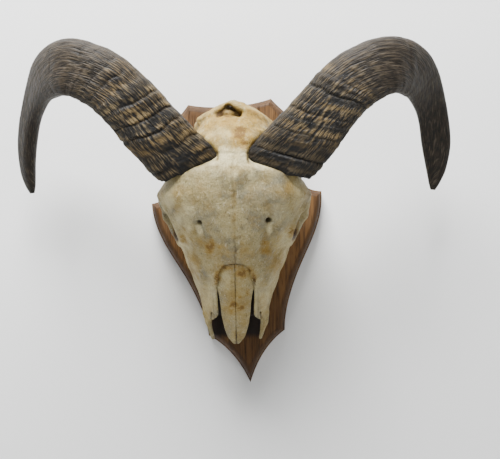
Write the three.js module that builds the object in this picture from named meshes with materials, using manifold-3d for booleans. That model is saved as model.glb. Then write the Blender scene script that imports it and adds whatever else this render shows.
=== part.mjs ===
// A ram's skull with both horns, fixed to an oak shield plaque that hangs on a wall.
// Millimetres. X runs across the skull, +Z is up, and -Y points away from the wall.
// The origin is the centre of the plaque's back face, in the skull's middle plane.
//
// Places on the skull are written as [across, up, out]: across from the middle plane,
// up along +Z, and out from the plaque's front face towards -Y.

import * as THREE from 'three';
import Module from 'manifold-3d';

const wasm = await Module();
wasm.setup();

// ---------------------------------------------------------------- driving dimensions

const GAP = 0.3; // clear space between pieces that touch

// The skull's main surface is found on a grid of cubes.
const GRID = {
  cell: 6.7,
  halfWidth: 72,
  up: [-76, 134],
  out: [0, 120],
  rounds: 3, // times that each vertex is moved towards the true surface
  reach: 0.2, // furthest move each time, as a share of the cell
  probe: 0.05,
  flattest: 0.2, // a vertex stays where it is if the field hardly changes around it
};

const PLAQUE = {
  thickness: 19,
  turn: THREE.MathUtils.degToRad(3.8), // the shield hangs a little out of line with the skull
  shift: 3.3,
  lip: 10.5, // height of the plain edge below the moulding
  lipWidth: 1.3,
  coveWidth: 5.6,
  coveSteps: 3,
  curveSteps: 4,
  // The right half of the outline, from the middle of the top edge to the point at the foot, as
  // [across, up]: the control points of each curve, then the point it runs to.
  top: [0, 128.2],
  curves: [
    [[22, 128.2], [39.2, 132.8]],
    [[47, 123], [57, 114]],
    [[52, 92], [57, 66]],
    [[60, 44], [80.4, 42.2]],
    [[80.4, 13], [64, -8], [52, -33]],
    [[44, -50], [37, -68], [36, -85.8]],
    [[12, -101], [0, -133]],
  ],
};

// Stations along the skull: [up, value].
const FACE = {
  back: 80,
  front: -67,
  width: [[-70, 25.5], [-62, 29], [-49, 32.3], [-30, 38.5], [-18, 42.5], [-5, 44], [6, 47],
    [14, 50], [23, 53], [32, 57.5], [38, 62.5], [42, 63], [50, 58.5], [58, 53], [75, 42]],
  widest: [[-70, 25], [-40, 29], [-15, 38], [5, 58], [20, 72], [40, 76], [60, 78], [75, 68]],
  roof: [[-92, 40], [-65, 57], [-40, 72.5], [-15, 86], [10, 97.5], [35, 106], [55, 110],
    [68, 109], [80, 105]],
  floor: [[-70, 21], [-40, 19], [5, 20], [20, 26], [40, 36], [60, 40], [75, 42]],
  roundness: [[-70, 1.75], [-40, 1.8], [-15, 2.0], [10, 2.3], [40, 2.5], [75, 2.5]],
  undersideRoundness: 3,
  wall: 6,
};

const BRAINCASE = { centre: [0, 83, 56], radii: [34, 39, 48], depthBelow: 34, back: 120.5 };

const CREST = {
  arch: [[0, 114.5, 88], [10, 111.5, 84], [22, 109.5, 70], [28, 101, 52]],
  radii: [5, 5, 5.5, 6],
  pit: { centre: [0, 108.5, 92], radii: [8.5, 4.5, 10] },
};

const ORBIT = {
  centre: [53.8, 20.5, 58],
  radius: 20.5,
  rim: 3.8,
  sides: 20,
  facing: new THREE.Vector3(1, -0.44, 0.2).normalize(),
  hollow: { centre: [63, 18, 58], radii: [24, 18.5, 19] },
  cone: { centre: [46, 30, 54], radii: [19, 15, 13] },
};

const TEMPLE = { centre: [58, 70, 51], radii: [23, 28, 24] };

const CHEEK = {
  arch: [[60, 24, 38], [59, 42, 36], [53, 62, 37], [44, 78, 40], [31, 88, 44]],
  archRadii: [4.4, 4.2, 4.2, 5, 6],
  root: [[45, 4, 44], [36, -16, 32]],
  rootRadii: [6, 5],
};

const BAR = { sides: 8, reference: [0.31, 0.23, 0.92] };

const HORN_SEAT = { from: [30, 60, 82], to: [42, 72, 92], radii: [20, 15] };

const BASE = {
  keel: [[0, 32, 42], [0, 70, 32], [0, 112, 30]],
  keelRadii: [9, 9, 11],
  bulla: { centre: [20, 94, 25], radii: [9, 12, 11] },
  mastoid: { centre: [26, 98, 42], radii: [8, 12, 14] },
  condyle: { centre: [12, 119, 27], radii: [8.5, 9, 10] },
  magnum: { centre: [0, 128, 39], radii: [9, 16, 8.5] },
  spur: [[25, 110, 36], [23, 109, 16], [20, 106, 3.4]],
  spurRadii: [7, 4.5, 2.4],
  wing: [[12, 10, 26], [12, 24, 19], [11, 44, 40]],
  wingRadii: [3, 3, 3],
};

// How softly each mass of bone runs into the one before it, or each hollow cuts into it.
const BLEND = {
  faceBack: 14,
  hornSeat: 8,
  braincase: 22,
  braincaseBack: 6,
  temple: 6,
  orbit: 4,
  cheek: 6,
  bulla: 4,
  mastoid: 6,
  condyle: 3,
  base: 6,
  crest: 6,
  pit: 3,
  magnum: 3,
};

// Each cheek's teeth, as one row from its front to its back.
const TEETH = {
  front: [22.5, -54],
  back: [29, 17],
  bow: 2.5,
  halfWidth: [4.6, 7.4],
  crown: 24,
  steps: 12,
  waist: 0.84,
  endShrink: 0.75,
  squareness: 0.5,
};

const NOSE = {
  front: -80,
  cavityBack: -24,
  steps: 4,
  sides: 12,
  endShrink: 0.5,
  notchHalf: [[-80, 26], [-70, 21], [-67, 18], [-62, 16.2], [-43, 15.8], [-36, 14], [-22, 12]],
  notchFloor: 40,
  above: 120,
  floorHalf: [[-80, 24], [-62, 17]],
  below: 2,
};

const NASAL = {
  tip: -89.5,
  root: -18,
  archDrop: 11.5,
  half: [[-89.5, 3.4], [-87, 5.6], [-80, 8.8], [-72, 10.9], [-60, 12.8], [-49, 13.8], [-40, 15.4],
    [-31, 17.4], [-18, 17.4]],
  arch: 0.027, // fall of the roof to each side, for each square millimetre from the middle
  archFrom: 0.72, // share of the length where the root starts to draw back to the sides
  archFall: 0.5,
  thickness: 4.6,
  edge: 0.45, // thickness at the outer edge, as a share of that in the middle
  rows: 16,
  columns: 4,
  seatLift: 6, // the seat cut for it runs out through the roof, by this for each mm of clearance
};

const SPLINT = {
  points: [[26, -52, 36], [26.5, -62, 32], [24.6, -74, 28], [21.6, -85, 25.5]],
  radii: [3.4, 3.4, 2.4, 1.2],
};

const HORN = {
  path: [[34.9, 64.6, 89.2], [59, 90, 103], [96, 129, 113], [126, 143, 108], [152, 140, 85],
    [171, 119, 58], [180.5, 91, 42], [182.5, 66, 34], [180, 46, 31]],
  halfWidth: [[0, 28.2], [0.2, 27.6], [0.4, 26.3], [0.55, 24], [0.66, 18], [0.74, 15], [0.85, 12.5],
    [0.93, 9.2], [0.975, 5.4], [1, 2.2]],
  halfDepth: [[0, 18.5], [0.2, 18], [0.42, 16.5], [0.55, 12.5], [0.66, 9.2], [0.74, 8.2],
    [0.85, 8], [0.93, 6.6], [0.975, 4.4], [1, 2]],
  slant: [[0, 0.4], [0.3, 0.3], [0.6, 0]],
  taperToKeel: 0.2,
  squareness: [[0, 0.62], [0.35, 0.82], [1, 0.82]],
  outwardAtBase: [0.25, -1, 0.1],
  cuts: [0, 0.36, 0.66, 1],
  cutGap: 0.0012, // share of the length left clear at each cut
  seatGap: 0.002, // and under the base
  seatClearance: 0.45,
  seatLifts: [0, 7, 15], // the seat runs on out through the roof in front of the horn
  sides: 14,
  step: 13,
  frames: 240,
};

// The two horns differ a little: how far each stands out, and how it turns along its length.
const HORN_SIDES = {
  right: { shift: -1.5, twist: [[0, 0], [0.45, 0.1], [0.8, 1], [1, 1]] },
  left: { shift: 2, twist: [[0, 0], [1, 0.1]] },
};

const SURFACES = {
  bone: { color: 0xd8cfb4, roughness: 0.72, metalness: 0 },
  horn: { color: 0x4a4238, roughness: 0.62, metalness: 0 },
  oak: { color: 0x7a5638, roughness: 0.55, metalness: 0 },
};

// ---------------------------------------------------------------- numbers

const mix = (a, b, share) => a + (b - a) * share;

const clamp = THREE.MathUtils.clamp;

// A smooth curve through [at, value] stations, level beyond both ends.
function along(stations, at) {
  const last = stations.length - 1;
  if (at <= stations[0][0]) return stations[0][1];
  if (at >= stations[last][0]) return stations[last][1];
  let i = 0;
  while (at > stations[i + 1][0]) i += 1;
  const slope = (k) => {
    const before = stations[Math.max(k - 1, 0)];
    const after = stations[Math.min(k + 1, last)];
    return (after[1] - before[1]) / (after[0] - before[0]);
  };
  const [x0, y0] = stations[i];
  const [x1, y1] = stations[i + 1];
  const span = x1 - x0;
  const t = (at - x0) / span;
  const rise = y1 - y0;
  const bend = slope(i) * span - rise;
  const straighten = rise - slope(i + 1) * span;
  return mix(y0, y1, t) + t * (1 - t) * (bend * (1 - t) + straighten * t);
}

// ---------------------------------------------------------------- distance functions

function ellipsoid(p, { centre, radii }) {
  const q = p.map((value, axis) => value - centre[axis]);
  const near = Math.hypot(...q.map((value, axis) => value / radii[axis]));
  const steep = Math.hypot(...q.map((value, axis) => value / radii[axis] ** 2));
  return steep > 0 ? near * (near - 1) / steep : -Math.min(...radii);
}

function bar(p, from, to, fromRadius, toRadius) {
  const run = to.map((value, axis) => value - from[axis]);
  const q = p.map((value, axis) => value - from[axis]);
  const dot = run[0] * q[0] + run[1] * q[1] + run[2] * q[2];
  const share = clamp(dot / (run[0] ** 2 + run[1] ** 2 + run[2] ** 2), 0, 1);
  const miss = Math.hypot(...q.map((value, axis) => value - run[axis] * share));
  return miss - mix(fromRadius, toRadius, share);
}

function chain(p, points, radii) {
  let nearest = Infinity;
  for (let i = 0; i + 1 < points.length; i += 1) {
    nearest = Math.min(nearest, bar(p, points[i], points[i + 1], radii[i], radii[i + 1]));
  }
  return nearest;
}

function join(a, b, blend) {
  const share = Math.max(blend - Math.abs(a - b), 0) / blend;
  return Math.min(a, b) - share * share * blend / 4;
}

const carve = (solid, hollow, blend) => -join(-solid, hollow, blend);

// ---------------------------------------------------------------- the skull's main mass

function faceSection(up) {
  const widest = along(FACE.widest, up);
  return {
    width: along(FACE.width, up),
    widest,
    rise: along(FACE.roof, up) - widest,
    drop: widest - along(FACE.floor, up),
    power: along(FACE.roundness, up),
  };
}

function faceLoft([across, up, out]) {
  const { width, widest, rise, drop, power: upper } = faceSection(up);
  const reach = out > widest ? rise : drop;
  const power = out > widest ? upper : FACE.undersideRoundness;
  const flat = (across / width) ** power + (Math.abs(out - widest) / reach) ** power;
  return (flat ** (1 / power) - 1) * Math.min(width, reach);
}

function braincase(p) {
  const [x, z, h] = BRAINCASE.radii;
  const radii = [x, z, p[2] > BRAINCASE.centre[2] ? h : BRAINCASE.depthBelow];
  const dome = ellipsoid(p, { centre: BRAINCASE.centre, radii });
  return carve(dome, BRAINCASE.back - p[1], BLEND.braincaseBack);
}

function skullBase(p) {
  let solid = chain(p, BASE.keel, BASE.keelRadii);
  solid = join(solid, ellipsoid(p, BASE.bulla), BLEND.bulla);
  solid = join(solid, ellipsoid(p, BASE.mastoid), BLEND.mastoid);
  return join(solid, ellipsoid(p, BASE.condyle), BLEND.condyle);
}

// Distance to the main mass of bone, less than zero inside.
function skullField(x, y, z) {
  const p = [Math.abs(x), z, -PLAQUE.thickness - y];
  let solid = carve(faceLoft(p), FACE.back - p[1], BLEND.faceBack);
  solid = Math.max(solid, FACE.front - p[1]);
  solid = join(solid, bar(p, HORN_SEAT.from, HORN_SEAT.to, ...HORN_SEAT.radii), BLEND.hornSeat);
  solid = join(solid, braincase(p), BLEND.braincase);
  solid = carve(solid, ellipsoid(p, TEMPLE), BLEND.temple);
  solid = carve(solid, ellipsoid(p, ORBIT.hollow), BLEND.orbit);
  solid = carve(solid, ellipsoid(p, ORBIT.cone), BLEND.orbit);
  solid = join(solid, bar(p, ...CHEEK.root, ...CHEEK.rootRadii), BLEND.cheek);
  solid = join(solid, skullBase(p), BLEND.base);
  solid = join(solid, chain(p, CREST.arch, CREST.radii), BLEND.crest);
  solid = carve(solid, ellipsoid(p, CREST.pit), BLEND.pit);
  return carve(solid, ellipsoid(p, BASE.magnum), BLEND.magnum);
}

// ---------------------------------------------------------------- surface of a field

const CORNERS = [0, 1, 2, 3, 4, 5, 6, 7].map((i) => [i & 1, (i >> 1) & 1, (i >> 2) & 1]);

// A cell's twelve edges, each as its two corners, and its six faces, as rings of corners.
const EDGES = [];
for (let a = 0; a < 8; a += 1) {
  for (const bit of [1, 2, 4]) {
    if (!(a & bit)) EDGES.push([a, a | bit]);
  }
}
const FACES = [];
for (const [bit, u, v] of [[1, 2, 4], [2, 4, 1], [4, 1, 2]]) {
  for (const side of [0, bit]) FACES.push([side, side | u, side | u | v, side | v]);
}
const edgeBetween = (a, b) => EDGES.findIndex(([p, q]) => p === Math.min(a, b) && q === Math.max(a, b));

// Sorts the crossed edges of one cell into separate patches of surface.
function patchesOf(values) {
  const crossed = EDGES.map(([a, b]) => (values[a] < 0) !== (values[b] < 0));
  const leader = EDGES.map((_, i) => i);
  const find = (i) => (leader[i] === i ? i : find(leader[i]));
  const link = (i, j) => { leader[find(i)] = find(j); };
  for (const face of FACES) {
    const sides = face.map((corner, i) => edgeBetween(corner, face[(i + 1) % 4]));
    const cut = sides.filter((edge) => crossed[edge]);
    if (cut.length === 2) link(cut[0], cut[1]);
    if (cut.length === 4) {
      const middleInside = face.reduce((sum, corner) => sum + values[corner], 0) < 0;
      const firstInside = values[face[0]] < 0;
      const shift = middleInside === firstInside ? 0 : 3;
      link(sides[shift % 4], sides[(shift + 1) % 4]);
      link(sides[(shift + 2) % 4], sides[(shift + 3) % 4]);
    }
  }
  return EDGES.map((_, i) => (crossed[i] ? find(i) : -1));
}

// Moves a point towards the field's zero surface, by no more than the given reach each time.
function settle(start, field, reach) {
  let point = start;
  for (let round = 0; round < GRID.rounds; round += 1) {
    const here = field(...point);
    const slope = [0, 1, 2].map((axis) => {
      const ahead = [...point];
      ahead[axis] += GRID.probe;
      return (field(...ahead) - here) / GRID.probe;
    });
    const steep = Math.hypot(...slope);
    if (steep < GRID.flattest) return point;
    const push = clamp(here / steep, -reach, reach) / steep;
    point = point.map((value, axis) => value - push * slope[axis]);
  }
  return point;
}

// The closed surface where a field is zero, with one vertex in each patch of each cell.
function surfaceOf(field, low, high, cell) {
  const count = low.map((value, axis) => Math.ceil((high[axis] - value) / cell) + 1);
  const place = (i, j, k) => [low[0] + i * cell, low[1] + j * cell, low[2] + k * cell];
  const index = (i, j, k) => (k * count[1] + j) * count[0] + i;
  const samples = new Float64Array(count[0] * count[1] * count[2]);
  for (let k = 0; k < count[2]; k += 1) {
    for (let j = 0; j < count[1]; j += 1) {
      for (let i = 0; i < count[0]; i += 1) samples[index(i, j, k)] = field(...place(i, j, k));
    }
  }
  const vertices = [];
  const cells = new Map();
  for (let k = 0; k + 1 < count[2]; k += 1) {
    for (let j = 0; j + 1 < count[1]; j += 1) {
      for (let i = 0; i + 1 < count[0]; i += 1) {
        const values = CORNERS.map(([a, b, c]) => samples[index(i + a, j + b, k + c)]);
        if (values.every((value) => value < 0) || values.every((value) => value >= 0)) continue;
        const owner = patchesOf(values);
        const vertexOf = new Map();
        for (const patch of new Set(owner.filter((value) => value >= 0))) {
          const sum = [0, 0, 0];
          let hits = 0;
          EDGES.forEach(([a, b], edge) => {
            if (owner[edge] !== patch) return;
            const share = values[a] / (values[a] - values[b]);
            for (const axis of [0, 1, 2]) sum[axis] += mix(CORNERS[a][axis], CORNERS[b][axis], share);
            hits += 1;
          });
          const base = place(i, j, k);
          const start = sum.map((value, axis) => base[axis] + value / hits * cell);
          vertexOf.set(patch, vertices.length);
          vertices.push(settle(start, field, cell * GRID.reach));
        }
        cells.set(index(i, j, k), owner.map((patch) => vertexOf.get(patch)));
      }
    }
  }
  const triangles = [];
  const steps = [[1, 0, 0], [0, 1, 0], [0, 0, 1]];
  for (let k = 1; k + 1 < count[2]; k += 1) {
    for (let j = 1; j + 1 < count[1]; j += 1) {
      for (let i = 1; i + 1 < count[0]; i += 1) {
        for (let axis = 0; axis < 3; axis += 1) {
          const [a, b, c] = steps[axis];
          const inside = samples[index(i, j, k)] < 0;
          if (inside === (samples[index(i + a, j + b, k + c)] < 0)) continue;
          const u = (axis + 1) % 3;
          const v = (axis + 2) % 3;
          const around = [[0, 0], [1, 0], [1, 1], [0, 1]].map(([backU, backV]) => {
            const at = [i, j, k];
            at[u] -= backU;
            at[v] -= backV;
            const corner = (backU << u) | (backV << v);
            return cells.get(index(...at))[edgeBetween(corner, corner | (1 << axis))];
          });
          if (!inside) around.reverse();
          triangles.push(around[0], around[1], around[2], around[0], around[2], around[3]);
        }
      }
    }
  }
  return { vertices, triangles };
}

// Keeps only the largest connected piece of a surface.
function largestPiece({ vertices, triangles }) {
  const leader = vertices.map((_, i) => i);
  const find = (i) => {
    while (leader[i] !== i) {
      leader[i] = leader[leader[i]];
      i = leader[i];
    }
    return i;
  };
  for (let t = 0; t < triangles.length; t += 3) {
    leader[find(triangles[t])] = find(triangles[t + 1]);
    leader[find(triangles[t])] = find(triangles[t + 2]);
  }
  const size = new Map();
  for (const corner of triangles) size.set(find(corner), (size.get(find(corner)) ?? 0) + 1);
  const main = [...size].sort((a, b) => b[1] - a[1])[0][0];
  const kept = [];
  const renumber = new Map();
  const points = [];
  for (const corner of triangles) {
    if (find(corner) !== main) continue;
    if (!renumber.has(corner)) {
      renumber.set(corner, points.length);
      points.push(vertices[corner]);
    }
    kept.push(renumber.get(corner));
  }
  return { vertices: points, triangles: kept };
}

// ---------------------------------------------------------------- solids and meshes

function solidFrom({ vertices, triangles }) {
  return new wasm.Manifold(new wasm.Mesh({
    numProp: 3,
    vertProperties: new Float32Array(vertices.flat()),
    triVerts: new Uint32Array(triangles),
  }));
}

function surfaceFrom(solid) {
  const { vertProperties, triVerts } = solid.getMesh();
  const vertices = [];
  for (let i = 0; i < vertProperties.length; i += 3) {
    vertices.push([...vertProperties.slice(i, i + 3)]);
  }
  return { vertices, triangles: [...triVerts] };
}

function meshOf(name, surface, { vertices, triangles }) {
  const geometry = new THREE.BufferGeometry();
  geometry.setAttribute('position', new THREE.Float32BufferAttribute(vertices.flat(), 3));
  geometry.setIndex(triangles);
  geometry.computeVertexNormals();
  const mesh = new THREE.Mesh(geometry, new THREE.MeshStandardMaterial(SURFACES[surface]));
  mesh.name = name;
  return mesh;
}

const circle = (sides, spot) => Array.from({ length: sides }, (_, i) => {
  const angle = i / sides * Math.PI * 2;
  return spot(Math.cos(angle), Math.sin(angle));
});

const squared = (value, power) => Math.sign(value) * Math.abs(value) ** power;

const mirrored = ({ vertices, triangles }) => ({
  vertices: vertices.map(([x, y, z]) => [-x, y, z]),
  triangles: triangles.map((_, i) => triangles[i - (i % 3) + 2 - (i % 3)]),
});

const placed = ([across, up, out]) => [across, -PLAQUE.thickness - out, up];

// Joins rings that turn anticlockwise about the way ahead. An open tube gets two flat ends.
function tubeThrough(rings, closed) {
  const sides = rings[0].length;
  const vertices = rings.flat();
  const triangles = [];
  for (let r = 0; r + (closed ? 0 : 1) < rings.length; r += 1) {
    const next = (r + 1) % rings.length;
    for (let i = 0; i < sides; i += 1) {
      const j = (i + 1) % sides;
      const [a, b, c, d] = [r * sides + i, r * sides + j, next * sides + j, next * sides + i];
      triangles.push(a, b, c, a, c, d);
    }
  }
  for (const end of closed ? [] : [0, rings.length - 1]) {
    const middle = [0, 1, 2].map((axis) => rings[end].reduce((sum, p) => sum + p[axis], 0) / sides);
    const hub = vertices.push(middle) - 1;
    for (let i = 0; i < sides; i += 1) {
      const [a, b] = [end * sides + i, end * sides + (i + 1) % sides];
      if (end === 0) triangles.push(hub, b, a);
      else triangles.push(hub, a, b);
    }
  }
  return { vertices, triangles };
}

// ---------------------------------------------------------------- plaque

function shieldOutline() {
  const half = new THREE.Path();
  half.moveTo(...PLAQUE.top);
  for (const points of PLAQUE.curves) {
    if (points.length === 2) half.quadraticCurveTo(...points.flat());
    else half.bezierCurveTo(...points.flat());
  }
  const right = half.getPoints(PLAQUE.curveSteps);
  const left = right.slice(1, -1).reverse().map(({ x, y }) => new THREE.Vector2(-x, y));
  return [...right, ...left];
}

// Moves every corner of a clockwise outline inwards, so that each side moves by the inset.
function insetOutline(outline, inset) {
  return outline.map((corner, i) => {
    const before = outline[(i + outline.length - 1) % outline.length];
    const after = outline[(i + 1) % outline.length];
    const inward = (from, to) => new THREE.Vector2(to.y - from.y, from.x - to.x).normalize();
    const a = inward(before, corner);
    const b = inward(corner, after);
    const mitre = a.clone().add(b).multiplyScalar(inset / (1 + a.dot(b)));
    return corner.clone().add(mitre);
  });
}

function plaqueSurface() {
  const outline = shieldOutline();
  const cove = PLAQUE.thickness - PLAQUE.lip;
  const levels = [[0, 0], [0, PLAQUE.lip]];
  for (let i = 0; i <= PLAQUE.coveSteps; i += 1) {
    const angle = i / PLAQUE.coveSteps * Math.PI / 2;
    levels.push([
      PLAQUE.lipWidth + PLAQUE.coveWidth * (1 - Math.cos(angle)),
      PLAQUE.lip + cove * Math.sin(angle),
    ]);
  }
  const rings = levels.map(([inset, out]) => insetOutline(outline, inset)
    .map(({ x, y }) => [x, -out, y]));
  const sides = outline.length;
  const vertices = rings.flat();
  const triangles = [];
  for (let r = 0; r + 1 < rings.length; r += 1) {
    for (let i = 0; i < sides; i += 1) {
      const j = (i + 1) % sides;
      const [a, b, c, d] = [r * sides + i, r * sides + j, (r + 1) * sides + j, (r + 1) * sides + i];
      triangles.push(a, c, b, a, d, c);
    }
  }
  for (const level of [0, rings.length - 1]) {
    const flat = rings[level].map(([x, , z]) => new THREE.Vector2(x, z));
    for (const [a, b, c] of THREE.ShapeUtils.triangulateShape(flat, [])) {
      const corners = [a, b, c].map((corner) => level * sides + corner);
      const turned = THREE.ShapeUtils.area([flat[a], flat[b], flat[c]]) > 0;
      if (turned !== (level === 0)) triangles.push(...corners);
      else triangles.push(...corners.reverse());
    }
  }
  return { vertices, triangles };
}

// ---------------------------------------------------------------- horns

// A horn's middle line, with axes that turn as little as they can along it.
function hornLine({ shift, twist }) {
  const points = HORN.path.map(([across, up, out]) => placed([across + shift, up, out]));
  const curve = new THREE.CatmullRomCurve3(points.map((point) => new THREE.Vector3(...point)));
  const length = curve.getLength();
  const frames = [];
  let outward = new THREE.Vector3(...HORN.outwardAtBase);
  for (let i = 0; i <= HORN.frames; i += 1) {
    const share = i / HORN.frames;
    const ahead = curve.getTangentAt(share);
    outward = outward.clone().addScaledVector(ahead, -outward.dot(ahead)).normalize();
    const face = outward.clone().applyAxisAngle(ahead, along(twist, share));
    const wide = new THREE.Vector3().crossVectors(face, ahead);
    frames.push({ point: curve.getPointAt(share), ahead, face, wide });
  }
  const frameAt = (share) => {
    const inside = clamp(share, 0, 1);
    const frame = frames[Math.round(inside * HORN.frames)];
    const point = frame.point.clone().addScaledVector(frame.ahead, (share - inside) * length);
    return { ...frame, point };
  };
  return { length, frameAt };
}

// One cross-section: broad on the face side, narrowing to a keel behind, and slanted.
function hornRing({ length, frameAt }, share, grow) {
  const width = along(HORN.halfWidth, share) + grow;
  const depth = along(HORN.halfDepth, share) + grow;
  const slant = along(HORN.slant, share) / length;
  const squareness = along(HORN.squareness, share);
  return circle(HORN.sides, (cos, sin) => {
    const narrow = (1 + HORN.taperToKeel * sin) / (1 + HORN.taperToKeel / 2);
    const wide = width * squared(cos, squareness) * narrow;
    const deep = depth * squared(sin, squareness);
    const frame = frameAt(share - wide * slant);
    return frame.point.addScaledVector(frame.wide, wide).addScaledVector(frame.face, deep).toArray();
  });
}

// The part of a horn between two shares of its length.
function hornLength(side, from, to, grow) {
  const line = hornLine(HORN_SIDES[side]);
  const steps = Math.max(Math.round((to - from) * line.length / HORN.step), 2);
  const rings = [];
  for (let i = 0; i <= steps; i += 1) rings.push(hornRing(line, mix(from, to, i / steps), grow));
  const surface = tubeThrough(rings, false);
  return side === 'left' ? mirrored(surface) : surface;
}

// ---------------------------------------------------------------- nasal bones

function nasalSurface(grow) {
  const { tip, root, rows, columns } = NASAL;
  const at = (row, column) => {
    const t = row / rows;
    const u = column / columns;
    const up = mix(tip - grow, root + grow, t);
    const inner = GAP / 2 - grow;
    const across = mix(inner, along(NASAL.half, up) + grow, u);
    const back = NASAL.archDrop * clamp((t - NASAL.archFrom) / (1 - NASAL.archFrom), 0, 1) ** 2;
    const top = along(FACE.roof, up) - NASAL.arch * across ** 2 - back * u * u * NASAL.archFall;
    const thin = NASAL.thickness * mix(1, NASAL.edge, u * u);
    return {
      across,
      up: up - back * u * u,
      top: top + grow * NASAL.seatLift,
      under: top - thin - grow,
    };
  };
  const grid = (key) => {
    const points = [];
    for (let row = 0; row <= rows; row += 1) {
      for (let column = 0; column <= columns; column += 1) {
        const spot = at(row, column);
        points.push(placed([spot.across, spot.up, spot[key]]));
      }
    }
    return points;
  };
  const vertices = [...grid('top'), ...grid('under')];
  const wide = columns + 1;
  const below = (rows + 1) * wide;
  const triangles = [];
  const quad = (a, b, c, d) => triangles.push(a, b, c, a, c, d);
  for (let row = 0; row < rows; row += 1) {
    for (let column = 0; column < columns; column += 1) {
      const a = row * wide + column;
      quad(a, a + 1, a + 1 + wide, a + wide);
      quad(below + a, below + a + wide, below + a + 1 + wide, below + a + 1);
    }
  }
  for (let row = 0; row < rows; row += 1) {
    const inner = row * wide;
    const outer = inner + columns;
    quad(inner, inner + wide, below + inner + wide, below + inner);
    quad(outer + wide, outer, below + outer, below + outer + wide);
  }
  for (let column = 0; column < columns; column += 1) {
    const end = rows * wide + column;
    quad(column + 1, column, below + column, below + column + 1);
    quad(end, end + 1, below + end + 1, below + end);
  }
  return { vertices, triangles };
}

// ---------------------------------------------------------------- slender bones and teeth

// A round bar of bone through the given points. A closed bar ends where it starts.
function boneBar(points, radii, closed) {
  const path = points.map((p) => new THREE.Vector3(...placed(p)));
  const last = path.length - 1;
  const rings = path.map((point, i) => {
    const before = closed ? path[(i + last) % path.length] : path[Math.max(i - 1, 0)];
    const after = closed ? path[(i + 1) % path.length] : path[Math.min(i + 1, last)];
    const ahead = after.clone().sub(before).normalize();
    const side = new THREE.Vector3(...BAR.reference).cross(ahead).normalize();
    const up = ahead.clone().cross(side);
    return circle(BAR.sides, (cos, sin) => point.clone()
      .addScaledVector(side, cos * radii[i])
      .addScaledVector(up, sin * radii[i])
      .toArray());
  });
  return tubeThrough(rings, closed);
}

function orbitRim() {
  const centre = new THREE.Vector3(...ORBIT.centre);
  const first = new THREE.Vector3(0, 0, 1).cross(ORBIT.facing).normalize();
  const second = ORBIT.facing.clone().cross(first);
  const points = circle(ORBIT.sides, (cos, sin) => centre.clone()
    .addScaledVector(first, cos * ORBIT.radius)
    .addScaledVector(second, sin * ORBIT.radius)
    .toArray());
  return boneBar(points, points.map(() => ORBIT.rim), true);
}

function toothRow() {
  const rings = [];
  for (let i = 0; i <= TEETH.steps; i += 1) {
    const share = i / TEETH.steps;
    const up = mix(TEETH.front[1], TEETH.back[1], share);
    const end = i === 0 || i === TEETH.steps ? TEETH.endShrink : 1;
    const middle = mix(TEETH.front[0], TEETH.back[0], share) + TEETH.bow * Math.sin(share * Math.PI);
    const waist = i % 2 ? 1 : TEETH.waist;
    const half = mix(TEETH.halfWidth[0], TEETH.halfWidth[1], share) * Math.min(end, waist);
    const tall = TEETH.crown / 2 * end;
    rings.push(circle(BAR.sides, (cos, sin) => placed([
      middle + half * squared(cos, TEETH.squareness),
      up,
      GAP + TEETH.crown / 2 + tall * squared(sin, TEETH.squareness),
    ])));
  }
  return tubeThrough(rings.reverse(), false);
}

// ---------------------------------------------------------------- nose opening

function noseCavity() {
  const rings = [];
  for (let i = 0; i <= NOSE.steps; i += 1) {
    const up = mix(NOSE.front, NOSE.cavityBack, i / NOSE.steps);
    const { width, widest, rise, drop, power } = faceSection(up);
    const end = i === NOSE.steps ? NOSE.endShrink : 1;
    rings.push(circle(NOSE.sides, (cos, sin) => {
      const reach = (sin > 0 ? rise : drop) - FACE.wall;
      const bend = 2 / (sin > 0 ? power : FACE.undersideRoundness);
      return placed([
        end * (width - FACE.wall) * squared(cos, bend),
        up,
        widest + end * reach * squared(sin, bend),
      ]);
    }));
  }
  return tubeThrough(rings.reverse(), false);
}

// A straight-sided slot that runs out through the roof of the nose or in through its floor.
function noseSlot(stations, low, high) {
  const rings = stations.map(([up, half]) => [
    [half, up, low], [half, up, high], [-half, up, high], [-half, up, low],
  ].map(placed));
  return tubeThrough(rings.reverse(), false);
}

// ---------------------------------------------------------------- assembly

function craniumSurface() {
  const low = [-GRID.halfWidth, -PLAQUE.thickness - GRID.out[1], GRID.up[0]];
  const high = [GRID.halfWidth, -PLAQUE.thickness - GRID.out[0], GRID.up[1]];
  let solid = solidFrom(largestPiece(surfaceOf(skullField, low, high, GRID.cell)));
  const hollows = [
    noseCavity(),
    noseSlot(NOSE.notchHalf, NOSE.notchFloor, NOSE.above),
    noseSlot(NOSE.floorHalf, NOSE.below, NOSE.notchFloor),
  ];
  for (const hollow of hollows) solid = solid.subtract(solidFrom(hollow));
  const bars = [
    orbitRim(),
    boneBar(CHEEK.arch, CHEEK.archRadii, false),
    boneBar(SPLINT.points, SPLINT.radii, false),
    boneBar(BASE.spur, BASE.spurRadii, false),
    boneBar(BASE.wing, BASE.wingRadii, false),
    toothRow(),
  ];
  for (const piece of bars) solid = solid.add(solidFrom(piece)).add(solidFrom(mirrored(piece)));
  const nasalSeat = nasalSurface(GAP);
  const seats = [solidFrom(nasalSeat), solidFrom(mirrored(nasalSeat))];
  for (const side of Object.keys(HORN_SIDES)) {
    const horn = hornLength(side, HORN.cuts[0] - HORN.seatGap, HORN.cuts[1], HORN.seatClearance);
    for (const lift of HORN.seatLifts) seats.push(solidFrom(horn).translate([0, -lift, 0]));
  }
  for (const seat of seats) solid = solid.subtract(seat);
  return largestPiece(surfaceFrom(solid));
}

const skull = new THREE.Group();

const plaque = meshOf('plaque', 'oak', plaqueSurface());
plaque.position.x = PLAQUE.shift;
plaque.rotation.y = -PLAQUE.turn;
skull.add(plaque);

skull.add(meshOf('cranium', 'bone', craniumSurface()));

const nasal = nasalSurface(0);
skull.add(meshOf('nasal_right', 'bone', nasal));
skull.add(meshOf('nasal_left', 'bone', mirrored(nasal)));

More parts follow.
